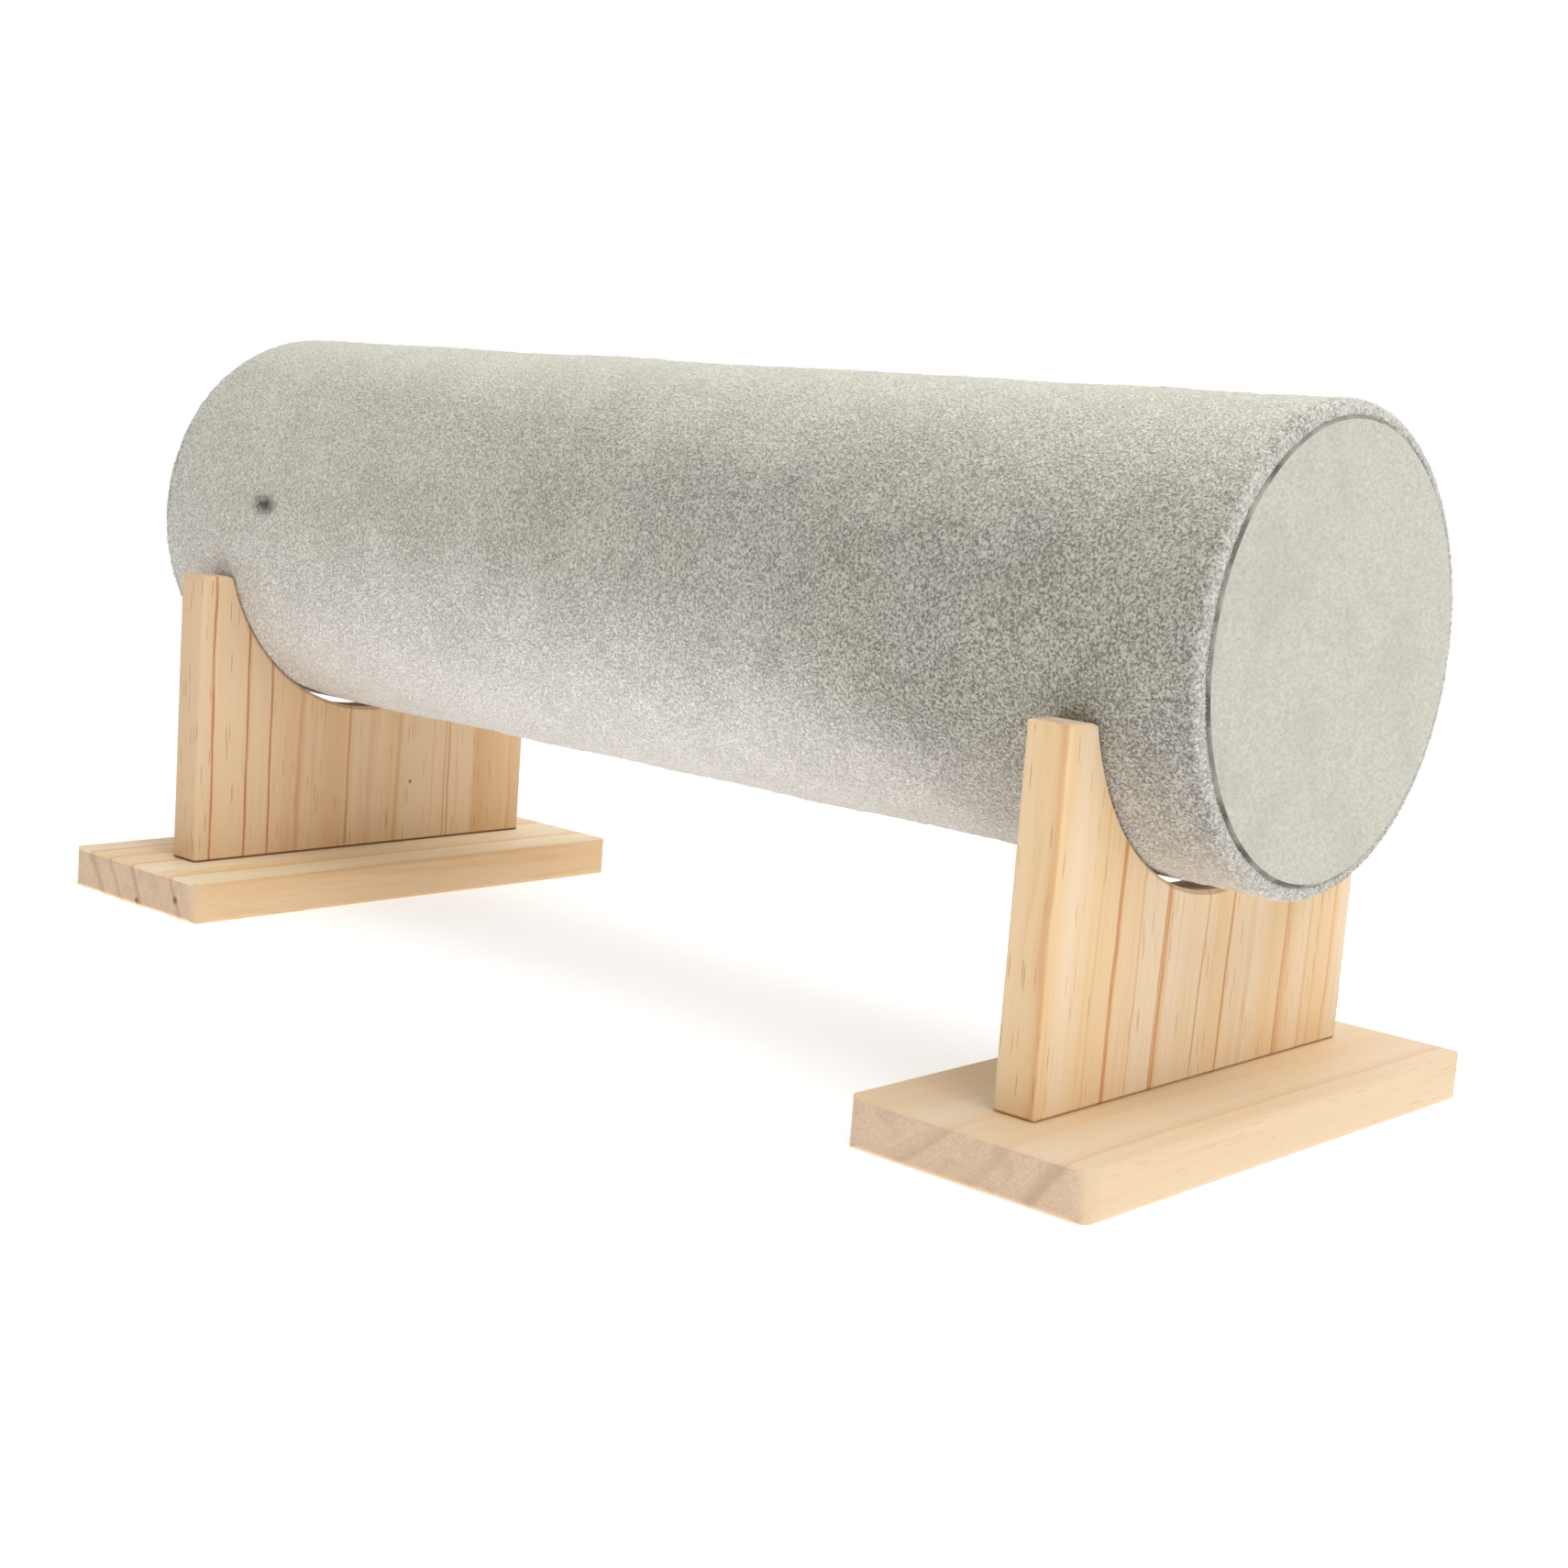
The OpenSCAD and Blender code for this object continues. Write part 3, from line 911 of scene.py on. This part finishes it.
@dataclass
class Sleeve:
    """The plush sleeve: one closed skin with rolled rims, leaning mouths and turned-in hems."""

    shape: RollerShape
    pile: PlushPile
    mouth_depth: float = 4.3 * MM
    hem_r: float = 37.0 * MM
    hem_t: float = 1.2 * MM
    bore_r: float = 43.3 * MM
    around: int = 312
    body_rings: int = 268
    bore_rings: int = 9
    roll_steps: int = 9
    lip_steps: int = 3
    hills: float = 0.16 * MM
    hill_pitch: float = 34.0 * MM
    clumps: float = 0.10 * MM
    clump_pitch: float = 3.4 * MM
    dimple_depth: float = 0.9 * MM
    dimple_r: float = 2.4 * MM
    mouth_lean: float = 0.36 * MM
    lean_band: float = 0.45
    tangle_pitch: float = 5.0 * MM
    cradle_r: float = 44.73 * MM
    cradle_drop: float = 1.67 * MM
    seat_margin: float = 1.6 * MM
    seat_fade: float = 0.6 * MM
    horn_fade: float = 1.0 * MM
    open_angle: float = math.radians(27.0)
    open_fade: float = math.radians(2.0)
    clearance: float = 0.14 * MM

    def rim_profile(self) -> np.ndarray:
        """Draws the right rim, from its shoulder over the roll and the lip to the back of the hem.

        Returns:
            Rows of place along the roller and distance from its axis.
        """
        shape = self.shape
        shoulder, lip = shape.half - shape.rim_r, shape.half - shape.lip_r
        rows = []
        for step in range(1, self.roll_steps + 1):
            angle = step / self.roll_steps * math.pi / 2
            rows.append((shoulder + shape.rim_r * math.sin(angle),
                         shape.radius - shape.rim_r + shape.rim_r * math.cos(angle)))
        for step in range(1, self.lip_steps + 1):
            angle = step / self.lip_steps * math.pi / 2
            rows.append((lip + shape.lip_r * math.cos(angle),
                         shape.mouth_r + shape.lip_r * (1 - math.sin(angle))))
        wall = shape.half - self.mouth_depth
        rows += [(lip - 0.4 * self.mouth_depth, shape.mouth_r), (wall, shape.mouth_r)]
        rows += [(wall, (shape.mouth_r + self.hem_r) / 2), (wall, self.hem_r)]
        back = wall - self.hem_t
        rows += [(back, self.hem_r), (back, (self.bore_r + self.hem_r) / 2), (back, self.bore_r)]
        return np.array(rows)

    def build(self) -> bpy.types.Object:
        """Builds the plush sleeve as one closed skin with rolled rims and turned-in hems.

        Returns:
            The new piece, riding on the roller.
        """
        shoulder = self.shape.half - self.shape.rim_r
        body = np.stack([np.linspace(-shoulder, shoulder, self.body_rings),
                         np.full(self.body_rings, self.shape.radius)], axis=-1)
        rim = self.rim_profile()
        left = rim[::-1] * np.array([-1.0, 1.0])
        bore = np.linspace(rim[-1, 0], -rim[-1, 0], self.bore_rings)[1:-1]
        inside = np.array([(x, self.bore_r) for x in bore])
        profile = np.concatenate([left, body, rim, inside])
        points, ways = self.shape.turn(profile, self.around)
        row = np.arange(len(rim))
        rolled = row <= self.roll_steps
        lipped = (row >= self.roll_steps) & (row <= self.roll_steps + self.lip_steps)
        skin = np.concatenate([rolled[::-1], np.ones(len(body)), rolled, np.zeros(len(inside))])
        mouth = np.concatenate([lipped[::-1], np.zeros(len(body)), lipped, np.zeros(len(inside))])
        pile, lip = np.repeat(skin, self.around), np.repeat(mouth, self.around)
        height = self.relief(points) * pile - self.lean_in(points) * lip
        points = points + ways * height[:, None]
        faces = ring_faces(len(profile), self.around, closed=True)
        sleeve = make_piece("roller_plush", points, faces, self.pile)
        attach(sleeve, self.shape.body)
        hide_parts("plush_sleeve")
        return sleeve

    def lean_in(self, points: np.ndarray) -> np.ndarray:
        """Works out how far the pile of the mouth leans over the seam, most of all at the front.

        Args:
            points: The places on the sleeve, in metres.

        Returns:
            The inward reach at each point, in metres.
        """
        rise = (points[:, 2] - self.shape.axis) / (self.lean_band * self.shape.radius)
        front = np.exp(-(rise**2)) * (points[:, 1] < 0)
        tangle = 0.75 + 0.4 * wave_noise(points, self.tangle_pitch, Draw.TANGLE)
        return self.mouth_lean * (0.3 + 0.7 * front) * tangle.clip(0.2, 1.0)

    def relief(self, points: np.ndarray) -> np.ndarray:
        """Works out how far the pile stands from the even cylinder.

        Args:
            points: The places on the sleeve, in metres.

        Returns:
            The height at each point, in metres: soft hills, clumps, the dimple and the seats.
        """
        height = self.hills * wave_noise(points, self.hill_pitch, Draw.HILLS)
        height += self.clumps * wave_noise(points, self.clump_pitch, Draw.CLUMPS)
        far = np.linalg.norm(points - np.array(self.pile.dimple), axis=1)
        height -= self.dimple_depth * np.exp(-((far / self.dimple_r) ** 2))
        for side in Side:
            low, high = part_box(f"{side.word}_upright")
            middle, half = (low.x + high.x) / 2, (high.x - low.x) / 2
            beside = np.abs(points[:, 0] - middle) - half
            seat = 1 / (1 + np.exp((beside - self.seat_margin) / self.seat_fade))
            seat = seat / (1 + np.exp((points[:, 2] - high.z) / self.horn_fade))
            height += seat * (self.filled_gap(points) - height)
        return height

    def filled_gap(self, points: np.ndarray) -> np.ndarray:
        """Works out how far the pressed pile fills the crescent between roller and cradle.

        Args:
            points: The places on the sleeve, in metres.

        Returns:
            The height at each point: nothing at the very bottom, where the gap stays open.
        """
        rise = points[:, 2] - self.shape.axis
        down = -rise / np.hypot(points[:, 1], rise)
        chord = np.sqrt(self.cradle_r**2 - self.cradle_drop**2 * (1 - down**2))
        reach = self.cradle_drop * down + chord
        turn = np.arccos(down.clip(-1.0, 1.0))
        pressed = 1 / (1 + np.exp((self.open_angle - turn) / self.open_fade))
        return pressed * (reach - self.shape.radius - self.clearance).clip(min=0.0)


@dataclass
class RimPile:
    """The loose fibres that stand over the rims and lean across the seams round the discs."""

    shape: RollerShape
    pile: PlushPile
    rim_count: int = 5200
    lip_count: int = 3600
    length: float = 0.5 * MM
    width: float = 0.17 * MM
    root: float = 0.1 * MM
    stand: float = 0.4
    tangle: float = 0.7
    curl: float = 0.35
    rows: tuple[Pair, ...] = ((0.0, 1.0), (0.55, 0.8))
    shag_pitch: float = 7.0 * MM

    def build(self, side: Side) -> bpy.types.Object:
        """Builds the loose fibres that stand over one rim and lean across the seam.

        Args:
            side: The end of the roller.

        Returns:
            The new piece, riding on the roller.
        """
        shape = self.shape
        draw = np.random.default_rng(Draw.TUFTS + side.value)
        count = self.rim_count + self.lip_count
        on_lip = np.arange(count) >= self.rim_count
        angle = draw.uniform(0, FULL_TURN, count)
        bend = np.where(on_lip, draw.uniform(0.0, 0.9, count), draw.uniform(-0.1, 1.0, count))
        bend = bend * math.pi / 2
        out = np.stack([np.zeros(count), np.sin(angle), np.cos(angle)], axis=-1)
        ends = np.zeros((count, 3))
        ends[:, 0] = side.value
        up, over = np.cos(bend)[:, None], np.sin(bend)[:, None]
        normal = np.where(on_lip[:, None], ends * up - out * over, out * up + ends * over)
        arc_r = np.where(on_lip, shape.lip_r, shape.rim_r)[:, None]
        lip_centre, rim_centre = shape.mouth_r + shape.lip_r, shape.radius - shape.rim_r
        centre_r = np.where(on_lip, lip_centre, rim_centre)[:, None]
        foot = out * centre_r + normal * (arc_r - self.root)
        foot += ends * (shape.half - arc_r)
        foot[:, 2] += shape.axis
        lean = self.stand * normal + draw.normal(scale=self.tangle, size=(count, 3))
        lean -= np.minimum(0.0, (lean * normal).sum(1))[:, None] * normal
        lean += np.where(on_lip[:, None], ends * 0.5 - out * 0.9, 0.0)
        lean /= np.linalg.norm(lean, axis=1, keepdims=True)
        front = np.exp(-((np.cos(angle) / 0.5) ** 2)) * (np.sin(angle) < 0)
        shag = 0.3 * wave_noise(foot, self.shag_pitch, Draw.SHAG)
        shaggy = (0.55 + 1.3 * front + shag).clip(0.3, 2.2)
        length = self.length * draw.uniform(0.45, 1.15, count) * np.where(on_lip, shaggy, 0.9)
        curl = np.cross(lean, draw.normal(size=(count, 3))) * self.curl
        return self.tufts(f"{side.word}_rim_pile", foot, lean, curl, length[:, None], draw)

    def tufts(
        self, name: str, foot: np.ndarray, lean: np.ndarray, curl: np.ndarray,
        length: np.ndarray, draw: np.random.Generator,
    ) -> bpy.types.Object:
        """Builds bent three-sided fibres as one piece.

        Args:
            name: The piece's name.
            foot: Where each fibre starts.
            lean: The way it points.
            curl: The way its tip bends.
            length: Its length, as a column.
            draw: The random draws.

        Returns:
            The new piece, riding on the roller.
        """
        count = len(foot)
        across = np.cross(lean, draw.normal(size=(count, 3)))
        across /= np.linalg.norm(across, axis=1, keepdims=True)
        third = np.cross(lean, across)
        third /= np.linalg.norm(third, axis=1, keepdims=True)
        width = self.width * draw.uniform(0.6, 1.2, count)[:, None]
        rows = []
        for share, thick in self.rows:
            middle = foot + lean * length * share + curl * length * share**2
            for corner in range(3):
                way = corner * FULL_TURN / 3
                out = across * math.cos(way) + third * math.sin(way)
                rows.append(middle + out * width * thick / 2)
        rows.append(foot + lean * length + curl * length)
        points = np.stack(rows, axis=1).reshape(-1, 3)
        sides = [(0, 1, 4, 3), (1, 2, 5, 4), (2, 0, 3, 5)]
        ends = [(3, 4, 6), (4, 5, 6), (5, 3, 6), (2, 1, 0)]
        starts = range(0, len(points), len(rows))
        faces = [[start + corner for corner in face] for start in starts for face in sides + ends]
        piece = make_piece(name, points, faces, self.pile)
        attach(piece, self.shape.body)
        return piece


@dataclass
class EndCloth:
    """The cloth stretched over each end disc, with its margin folded behind the board."""

    shape: RollerShape
    around: int = 216
    rings: int = 44
    thickness: float = 0.7 * MM
    edge_r: float = 0.35 * MM
    hub_r: float = 0.4 * MM
    bands: Pair = (0.3 * MM, 0.06 * MM)
    crown: float = 0.25 * MM
    ripple: float = 0.04 * MM
    ripple_pitch: float = 14.0 * MM
    fold_w: float = 7.0 * MM
    pleats: int = 34
    pleat_sway: int = 5
    pleat_depth: float = 0.1 * MM

    def profile(self, face: float, back: float, radius: float) -> tuple[list[Pair], ...]:
        """Draws the cloth from its hub outward, over the edge and in behind the board.

        Args:
            face: Place of the shown face along the roller.
            back: Place of the folded margin.
            radius: The disc's outer radius.

        Returns:
            Rows of place and distance from the axis, for the face, the edge and the margin.
        """
        edge = self.edge_r
        wide, narrow = (radius - edge - band for band in self.bands)
        front = [(face, r) for r in np.linspace(self.hub_r, wide, self.rings)]
        front += [(face, narrow), (face, radius - edge)]
        turned = [(face - edge + edge * math.cos(a), radius - edge + edge * math.sin(a))
                  for a in np.linspace(0, math.pi / 2, 6)[1:]]
        turned += [(x, radius) for x in np.linspace(face - edge, back, 5)[1:]]
        inmost = radius - self.fold_w - self.thickness
        margin = [(back, r) for r in np.linspace(radius, inmost, 9)[1:]]
        return front, turned, margin

    def relief(self, points: np.ndarray, radius: float) -> tuple[np.ndarray, np.ndarray]:
        """Works out how far the cloth stands out along the roller.

        Args:
            points: The places on the cloth, in metres.
            radius: The disc's outer radius.

        Returns:
            The crown of the face and the pleats of the margin, in metres.
        """
        spread = np.hypot(points[:, 1], points[:, 2] - self.shape.axis) / radius
        ripple = self.ripple * wave_noise(points, self.ripple_pitch, Draw.DISC_FACE)
        crown = (self.crown * (1 - spread**2) + ripple) * (1 - spread**6)
        angle = np.arctan2(points[:, 1], points[:, 2] - self.shape.axis)
        sway = 2 * np.sin(angle * self.pleat_sway)
        return crown, self.pleat_depth * (1 + np.sin(angle * self.pleats + sway))

    def build(self, side: Side) -> bpy.types.Object:
        """Builds one end disc's cloth: a faintly crowned face, rounded edge and gathered margin.

        Args:
            side: The end of the roller.

        Returns:
            The new piece, riding on the roller.
        """
        node, around = f"{side.word}_end_cloth", self.around
        low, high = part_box(node)
        radius = (high.z - low.z) / 2
        face = max(abs(low.x), abs(high.x))
        back = min(abs(low.x), abs(high.x))
        front, turned, margin = self.profile(face, back, radius)
        profile = np.array(front + turned + margin) * np.array([side.value, 1.0])
        points, _ = self.shape.turn(profile, around)
        ring = np.repeat(np.arange(len(profile)), around)
        crown, pleat = self.relief(points, radius)
        folded = ring > len(profile) - len(margin)
        points[:, 0] += side.value * np.where(ring < len(front), crown, 0.0)
        points[:, 0] += side.value * np.where(folded, pleat, 0.0)
        faces = ring_faces(len(profile), around, closed=False).tolist()
        if side is Side.LEFT:
            faces = [quad[::-1] for quad in faces]
        centre = len(points)
        top = [side.value * (face + self.crown), 0.0, self.shape.axis]
        points = np.concatenate([points, [top]])
        for step in range(around):
            wedge = [centre, step, (step + 1) % around]
            faces.append(wedge if side is Side.RIGHT else wedge[::-1])
        nap = NappedCloth(f"{side.word}_disc_nap")
        piece = make_piece(f"{side.word}_disc_cloth", points, faces, nap)
        solid = piece.modifiers.new("thickness", "SOLIDIFY")
        solid.thickness, solid.offset = self.thickness, -1.0
        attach(piece, self.shape.body)
        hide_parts(node)
        return piece


@dataclass
class FoamWrap:
    """The foam layer between the tube and the plush."""

    shape: RollerShape
    around: int = 144
    rings: int = 90
    bore_rings: int = 20
    bore_r: float = 39.6 * MM
    edge: float = 0.5 * MM
    dents: float = 0.12 * MM
    dent_pitch: float = 18.0 * MM

    def build(self) -> bpy.types.Object:
        """Builds the foam layer between the tube and the plush.

        Returns:
            The new piece, riding on the roller.
        """
        low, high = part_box("foam_wrap")
        outer, half = (high.z - low.z) / 2, (high.x - low.x) / 2
        inner, ease = self.bore_r, self.edge
        top = [(x, outer) for x in np.linspace(-half + ease, half - ease, self.rings)]
        end = [(half, outer - ease), (half, inner + ease), (half - ease, inner)]
        bore = np.linspace(half - ease, -half + ease, self.bore_rings)[1:-1]
        inside = [(x, inner) for x in bore]
        start = [(-half + ease, inner), (-half, inner + ease), (-half, outer - ease)]
        profile = np.array(top + end + inside + start)
        points, ways = self.shape.turn(profile, self.around)
        waves = wave_noise(points, self.dent_pitch, Draw.FOAM_SKIN)
        dents = -self.dents * (1 + waves).clip(0, 2)
        outside = np.repeat(profile[:, 1] > inner + ease, self.around)
        points = points + ways * (dents * outside)[:, None]
        faces = ring_faces(len(profile), self.around, closed=True)
        piece = make_piece("foam_padding", points, faces, OpenFoam("open_cell_foam"))
        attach(piece, self.shape.body)
        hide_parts("foam_wrap")
        return piece


class Roller:
    """The padded roller: plush sleeve with shaggy rims, covered end discs, foam and core."""

    def __init__(self) -> None:
        """Settles the shape and the pile that the layers share."""
        self.shape = RollerShape()
        pile = PlushPile("plush_pile")
        self.sleeve = Sleeve(self.shape, pile)
        self.rim_pile = RimPile(self.shape, pile)
        self.end_cloth = EndCloth(self.shape)
        self.foam = FoamWrap(self.shape)

    def build(self) -> None:
        """Builds and dresses every piece of the roller."""
        self.sleeve.build()
        for side in Side:
            self.rim_pile.build(side)
            self.end_cloth.build(side)
            dress(f"{side.word}_end_board", GreyBoard(f"{side.word}_grey_board"))
        self.foam.build()
        dress("core_tube", WoundPaper("wound_paper", axis_height=self.shape.axis))


@dataclass
class Stand:
    """One loose pine stand: a base board, a cradled upright and two screws."""

    side: Side
    upright_lines: tuple[RingLine, ...]
    base_lines: tuple[RingLine, ...]
    base_pith: Pair
    upright_tones: PineTones
    base_tones: PineTones
    lean: float
    seed: float
    # Strength of the painted shade at the upright's foot.
    foot_line: float
    base_flecks: float
    upright_knots: tuple[Knot, ...] = ()
    base_knots: tuple[Knot, ...] = ()
    upright_pith: Pair = (-230.0, -60.0)
    base_seed: float = 40.0

    def build(self) -> None:
        """Finishes the stand's boards and screws."""
        word = self.side.word
        low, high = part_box(f"{word}_upright")
        middle_x, middle_z = (low.x + high.x) / 2, (low.z + high.z) / 2
        dress(f"{word}_upright", PlanedPine(
            f"{word}_upright_pine", Grain.UPRIGHT, (middle_x, 0.0, middle_z), self.upright_lines,
            pith_mm=self.upright_pith, tones=self.upright_tones, lean=self.lean, seed=self.seed,
            knots=self.upright_knots, foot_line=self.foot_line,
        ))
        dress(f"{word}_base", PlanedPine(
            f"{word}_base_pine", Grain.LENGTHWISE, (middle_x, 0.0, 0.0), self.base_lines,
            pith_mm=self.base_pith, tones=self.base_tones, seed=self.seed + self.base_seed,
            knots=self.base_knots, fleck_share=self.base_flecks,
        ))
        for end in ("front", "rear"):
            dress(f"{word}_{end}_screw", PlatedSteel(f"{word}_{end}_plating"))


@dataclass(frozen=True)
class Lamp:
    """One square soft lamp: where it hangs, what it faces, its side in metres and its power."""

    name: str
    place: Point
    aim: Point
    size: float
    watts: float

    def hang(self) -> None:
        """Hangs the lamp in the scene."""
        data = bpy.data.lights.new(self.name, "AREA")
        data.shape, data.size, data.energy = "SQUARE", self.size, self.watts
        lamp = bpy.data.objects.new(self.name, data)
        lamp.location = self.place
        lamp.rotation_mode = "QUATERNION"
        lamp.rotation_quaternion = (Vector(self.aim) - Vector(self.place)).to_track_quat("-Z", "Y")
        bpy.context.scene.collection.objects.link(lamp)


@dataclass
class Studio:
    """A pale floor, even soft light and the photograph's view."""

    lens_mm: float = 54.47
    sensor_mm: float = 36.0
    eye: Point = (0.358216, -0.379145, 0.126673)
    right: Point = (0.7378534, 0.6710006, 0.0730110)
    up: Point = (-0.1565557, 0.0649185, 0.9855333)
    back: Point = (0.6565537, -0.7386094, 0.1529493)
    near_clip: float = 0.01
    far_clip: float = 20.0
    floor_half: float = 3.0
    floor_drop: float = 0.05 * MM
    floor_paper: RGBA = (0.86, 0.86, 0.86, 1.0)
    floor_glow: float = 0.5
    floor_glow_seen: float = 0.42
    floor_fade_mm: Pair = (240.0, 420.0)
    sky: RGBA = (1.0, 0.99, 0.97, 1.0)
    sky_strength: float = 0.41
    white: RGBA = (1.0, 1.0, 1.0, 1.0)
    lamps: tuple[Lamp, ...] = (
        Lamp("top_light", (0.25, 0.12, 1.0), (0.0, 0.0, 0.06), 1.0, 7.2),
        Lamp("side_light", (0.9, -0.35, 1.0), (0.0, 0.0, 0.08), 0.6, 3.4),
    )

    def build_camera(self) -> None:
        """Sets the camera where the photograph was taken."""
        data = bpy.data.cameras.new("camera")
        data.lens, data.sensor_width = self.lens_mm, self.sensor_mm
        data.clip_start, data.clip_end = self.near_clip, self.far_clip
        camera = bpy.data.objects.new("camera", data)
        axes = Matrix((self.right, self.up, self.back)).transposed()
        camera.matrix_world = Matrix.Translation(self.eye) @ axes.to_4x4()
        bpy.context.scene.collection.objects.link(camera)
        bpy.context.scene.camera = camera

    def build_floor(self) -> None:
        """Lays a white floor that keeps the object's shadow."""
        h = self.floor_half
        mesh = bpy.data.meshes.new("floor")
        mesh.from_pydata([(-h, -h, 0), (h, -h, 0), (h, h, 0), (-h, h, 0)], [], [(0, 1, 2, 3)])
        g = Graph(bpy.data.materials.new("studio_floor"))
        seen = g.seen()
        paper = g.node("BsdfDiffuse", {"Color": self.floor_paper}).outputs[0]
        glow = g.fit(seen, 0.0, 1.0, self.floor_glow, self.floor_glow_seen)
        lift = g.node("Emission", {"Strength": glow}).outputs[0]
        near = g.node("AddShader", {0: paper, 1: lift}).outputs[0]
        far = g.node("Emission", {"Strength": 1.0}).outputs[0]
        away = g.fit(g.distance(g.place(), (0.0, 0.0, 0.0)), *self.floor_fade_mm)
        both = g.node("MixShader", {0: g.math("MULTIPLY", away, seen), 1: near, 2: far}).outputs[0]
        g.node("OutputMaterial", {"Surface": both})
        mesh.materials.append(g.owner)
        floor = bpy.data.objects.new("floor", mesh)
        floor.location.z = -self.floor_drop
        bpy.context.scene.collection.objects.link(floor)

    def build_world(self) -> None:
        """Lights the object evenly from all round and shows white behind it."""
        world = bpy.data.worlds.new("studio")
        bpy.context.scene.world = world
        g = Graph(world)
        light = g.node("Background", {"Color": self.sky, "Strength": self.sky_strength}).outputs[0]
        backdrop = g.node("Background", {"Color": self.white}).outputs[0]
        both = g.node("MixShader", {0: g.seen(), 1: light, 2: backdrop}).outputs[0]
        g.node("OutputWorld", {"Surface": both})

    def build(self) -> None:
        """Builds the whole studio."""
        self.build_camera()
        self.build_world()
        self.build_floor()
        for lamp in self.lamps:
            lamp.hang()
        bpy.context.scene.view_settings.view_transform = "Standard"


def right_stand() -> Stand:
    """Describes the right stand, whose upright has bold orange year lines.

    Returns:
        The stand, ready to build.
    """
    return Stand(
        side=Side.RIGHT,
        upright_lines=(
            RingLine(-52.3, 0.6, 1.0, 0.7, 0.5), RingLine(-37.8, 0.35, 0.5, 0.7, 0.4),
            RingLine(-31.0, 1.0, 0.9, 1.2), RingLine(-31.5, 0.8, 0.5, 0.5),
            RingLine(-24.0, 0.4, 0.6, 0.6, 0.7), RingLine(-15.3, 0.95, 0.9, 2.2),
            RingLine(-16.0, 0.8, 0.7, 0.5), RingLine(-2.4, 0.6, 0.35, 0.5),
            RingLine(6.2, 0.9, 0.4, 0.8), RingLine(13.7, 0.35, 1.0, 2.4, 0.0),
            RingLine(27.4, 0.85, 0.5, 3.4, 0.9), RingLine(36.9, 0.4, 0.6, 0.9, 0.6),
            RingLine(40.5, 0.35, 0.5, 0.8, 0.6), RingLine(45.6, 0.45, 0.5, 1.4, 0.7),
        ),
        base_lines=(
            RingLine(-7.2, 0.35, 3.0, 1.2, 0.3), RingLine(6.2, 0.3, 3.0, 1.2, 0.3),
            RingLine(18.1, 0.65, 3.0, 1.4, 0.4),
        ),
        base_pith=(-36.0, 40.0),
        upright_tones=PineTones(),
        base_tones=PineTones(
            pale=tone(231, 211, 184), warm=tone(229, 203, 167), band=tone(222, 189, 148),
            late=tone(200, 156, 112), fleck=tone(196, 152, 112),
        ),
        lean=-0.018,
        seed=3.0,
        foot_line=0.2,
        base_flecks=0.3,
    )


def left_stand() -> Stand:
    """Describes the left stand, whose upright is coloured darker as painted shade from the roller,
    and has a pin knot.

    Returns:
        The stand, ready to build.
    """
    return Stand(
        side=Side.LEFT,
        upright_lines=(
            RingLine(-48.1, 0.95, 0.4, 0.5), RingLine(-38.1, 1.0, 0.5, 0.8),
            RingLine(-31.0, 0.95, 0.4, 0.6), RingLine(-22.1, 0.7, 1.2, 1.5, 0.1),
            RingLine(-6.4, 0.85, 0.5, 0.9, 0.8), RingLine(0.5, 0.4, 1.4, 1.6, 0.0),
            RingLine(9.0, 0.7, 1.0, 1.5, 0.1), RingLine(25.0, 0.5, 0.3, 0.4, 0.8),
            RingLine(26.4, 0.6, 0.3, 0.5, 0.8), RingLine(35.5, 0.55, 0.6, 7.0, 0.0),
            RingLine(48.0, 0.4, 0.6, 1.0, 0.3),
        ),
        base_lines=(
            RingLine(-15.0, 0.7, 1.8, 0.9, 0.8), RingLine(-7.5, 0.6, 1.6, 0.9, 0.8),
            RingLine(1.7, 0.85, 1.8, 0.9, 0.8), RingLine(18.0, 0.7, 1.8, 0.9, 0.6),
        ),
        base_pith=(-180.0, -86.0),
        # Darker tones than the right upright's: painted shade, where the roller shades this
        # upright.
        upright_tones=PineTones(
            pale=tone(228, 199, 164), warm=tone(221, 184, 140), band=tone(206, 152, 100),
            late=tone(188, 126, 78), fleck=tone(188, 142, 102),
        ),
        # Lighter pale tones for painted light on the base's top, and a flank tint for painted shade
        # on its sides.
        base_tones=PineTones(
            pale=tone(252, 236, 204), warm=tone(244, 212, 164), band=tone(228, 188, 138),
            late=tone(222, 178, 132), fleck=tone(196, 146, 102), flank=tone(231, 215, 202),
        ),
        lean=-0.006,
        seed=17.0,
        foot_line=0.8,
        base_flecks=0.75,
        upright_knots=(((4.75, 13.4, -18.9), 0.5),),
        base_knots=(((18.1, -66.0, 4.3), 0.9), ((2.2, -66.0, 1.2), 0.8)),
    )


def main() -> None:
    """Builds the studio, the roller and the two stands."""
    logging.basicConfig(level=logging.INFO, format="%(name)s: %(message)s")
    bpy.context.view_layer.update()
    Studio().build()
    Roller().build()
    right_stand().build()
    left_stand().build()


if __name__ == "__main__":
    main()
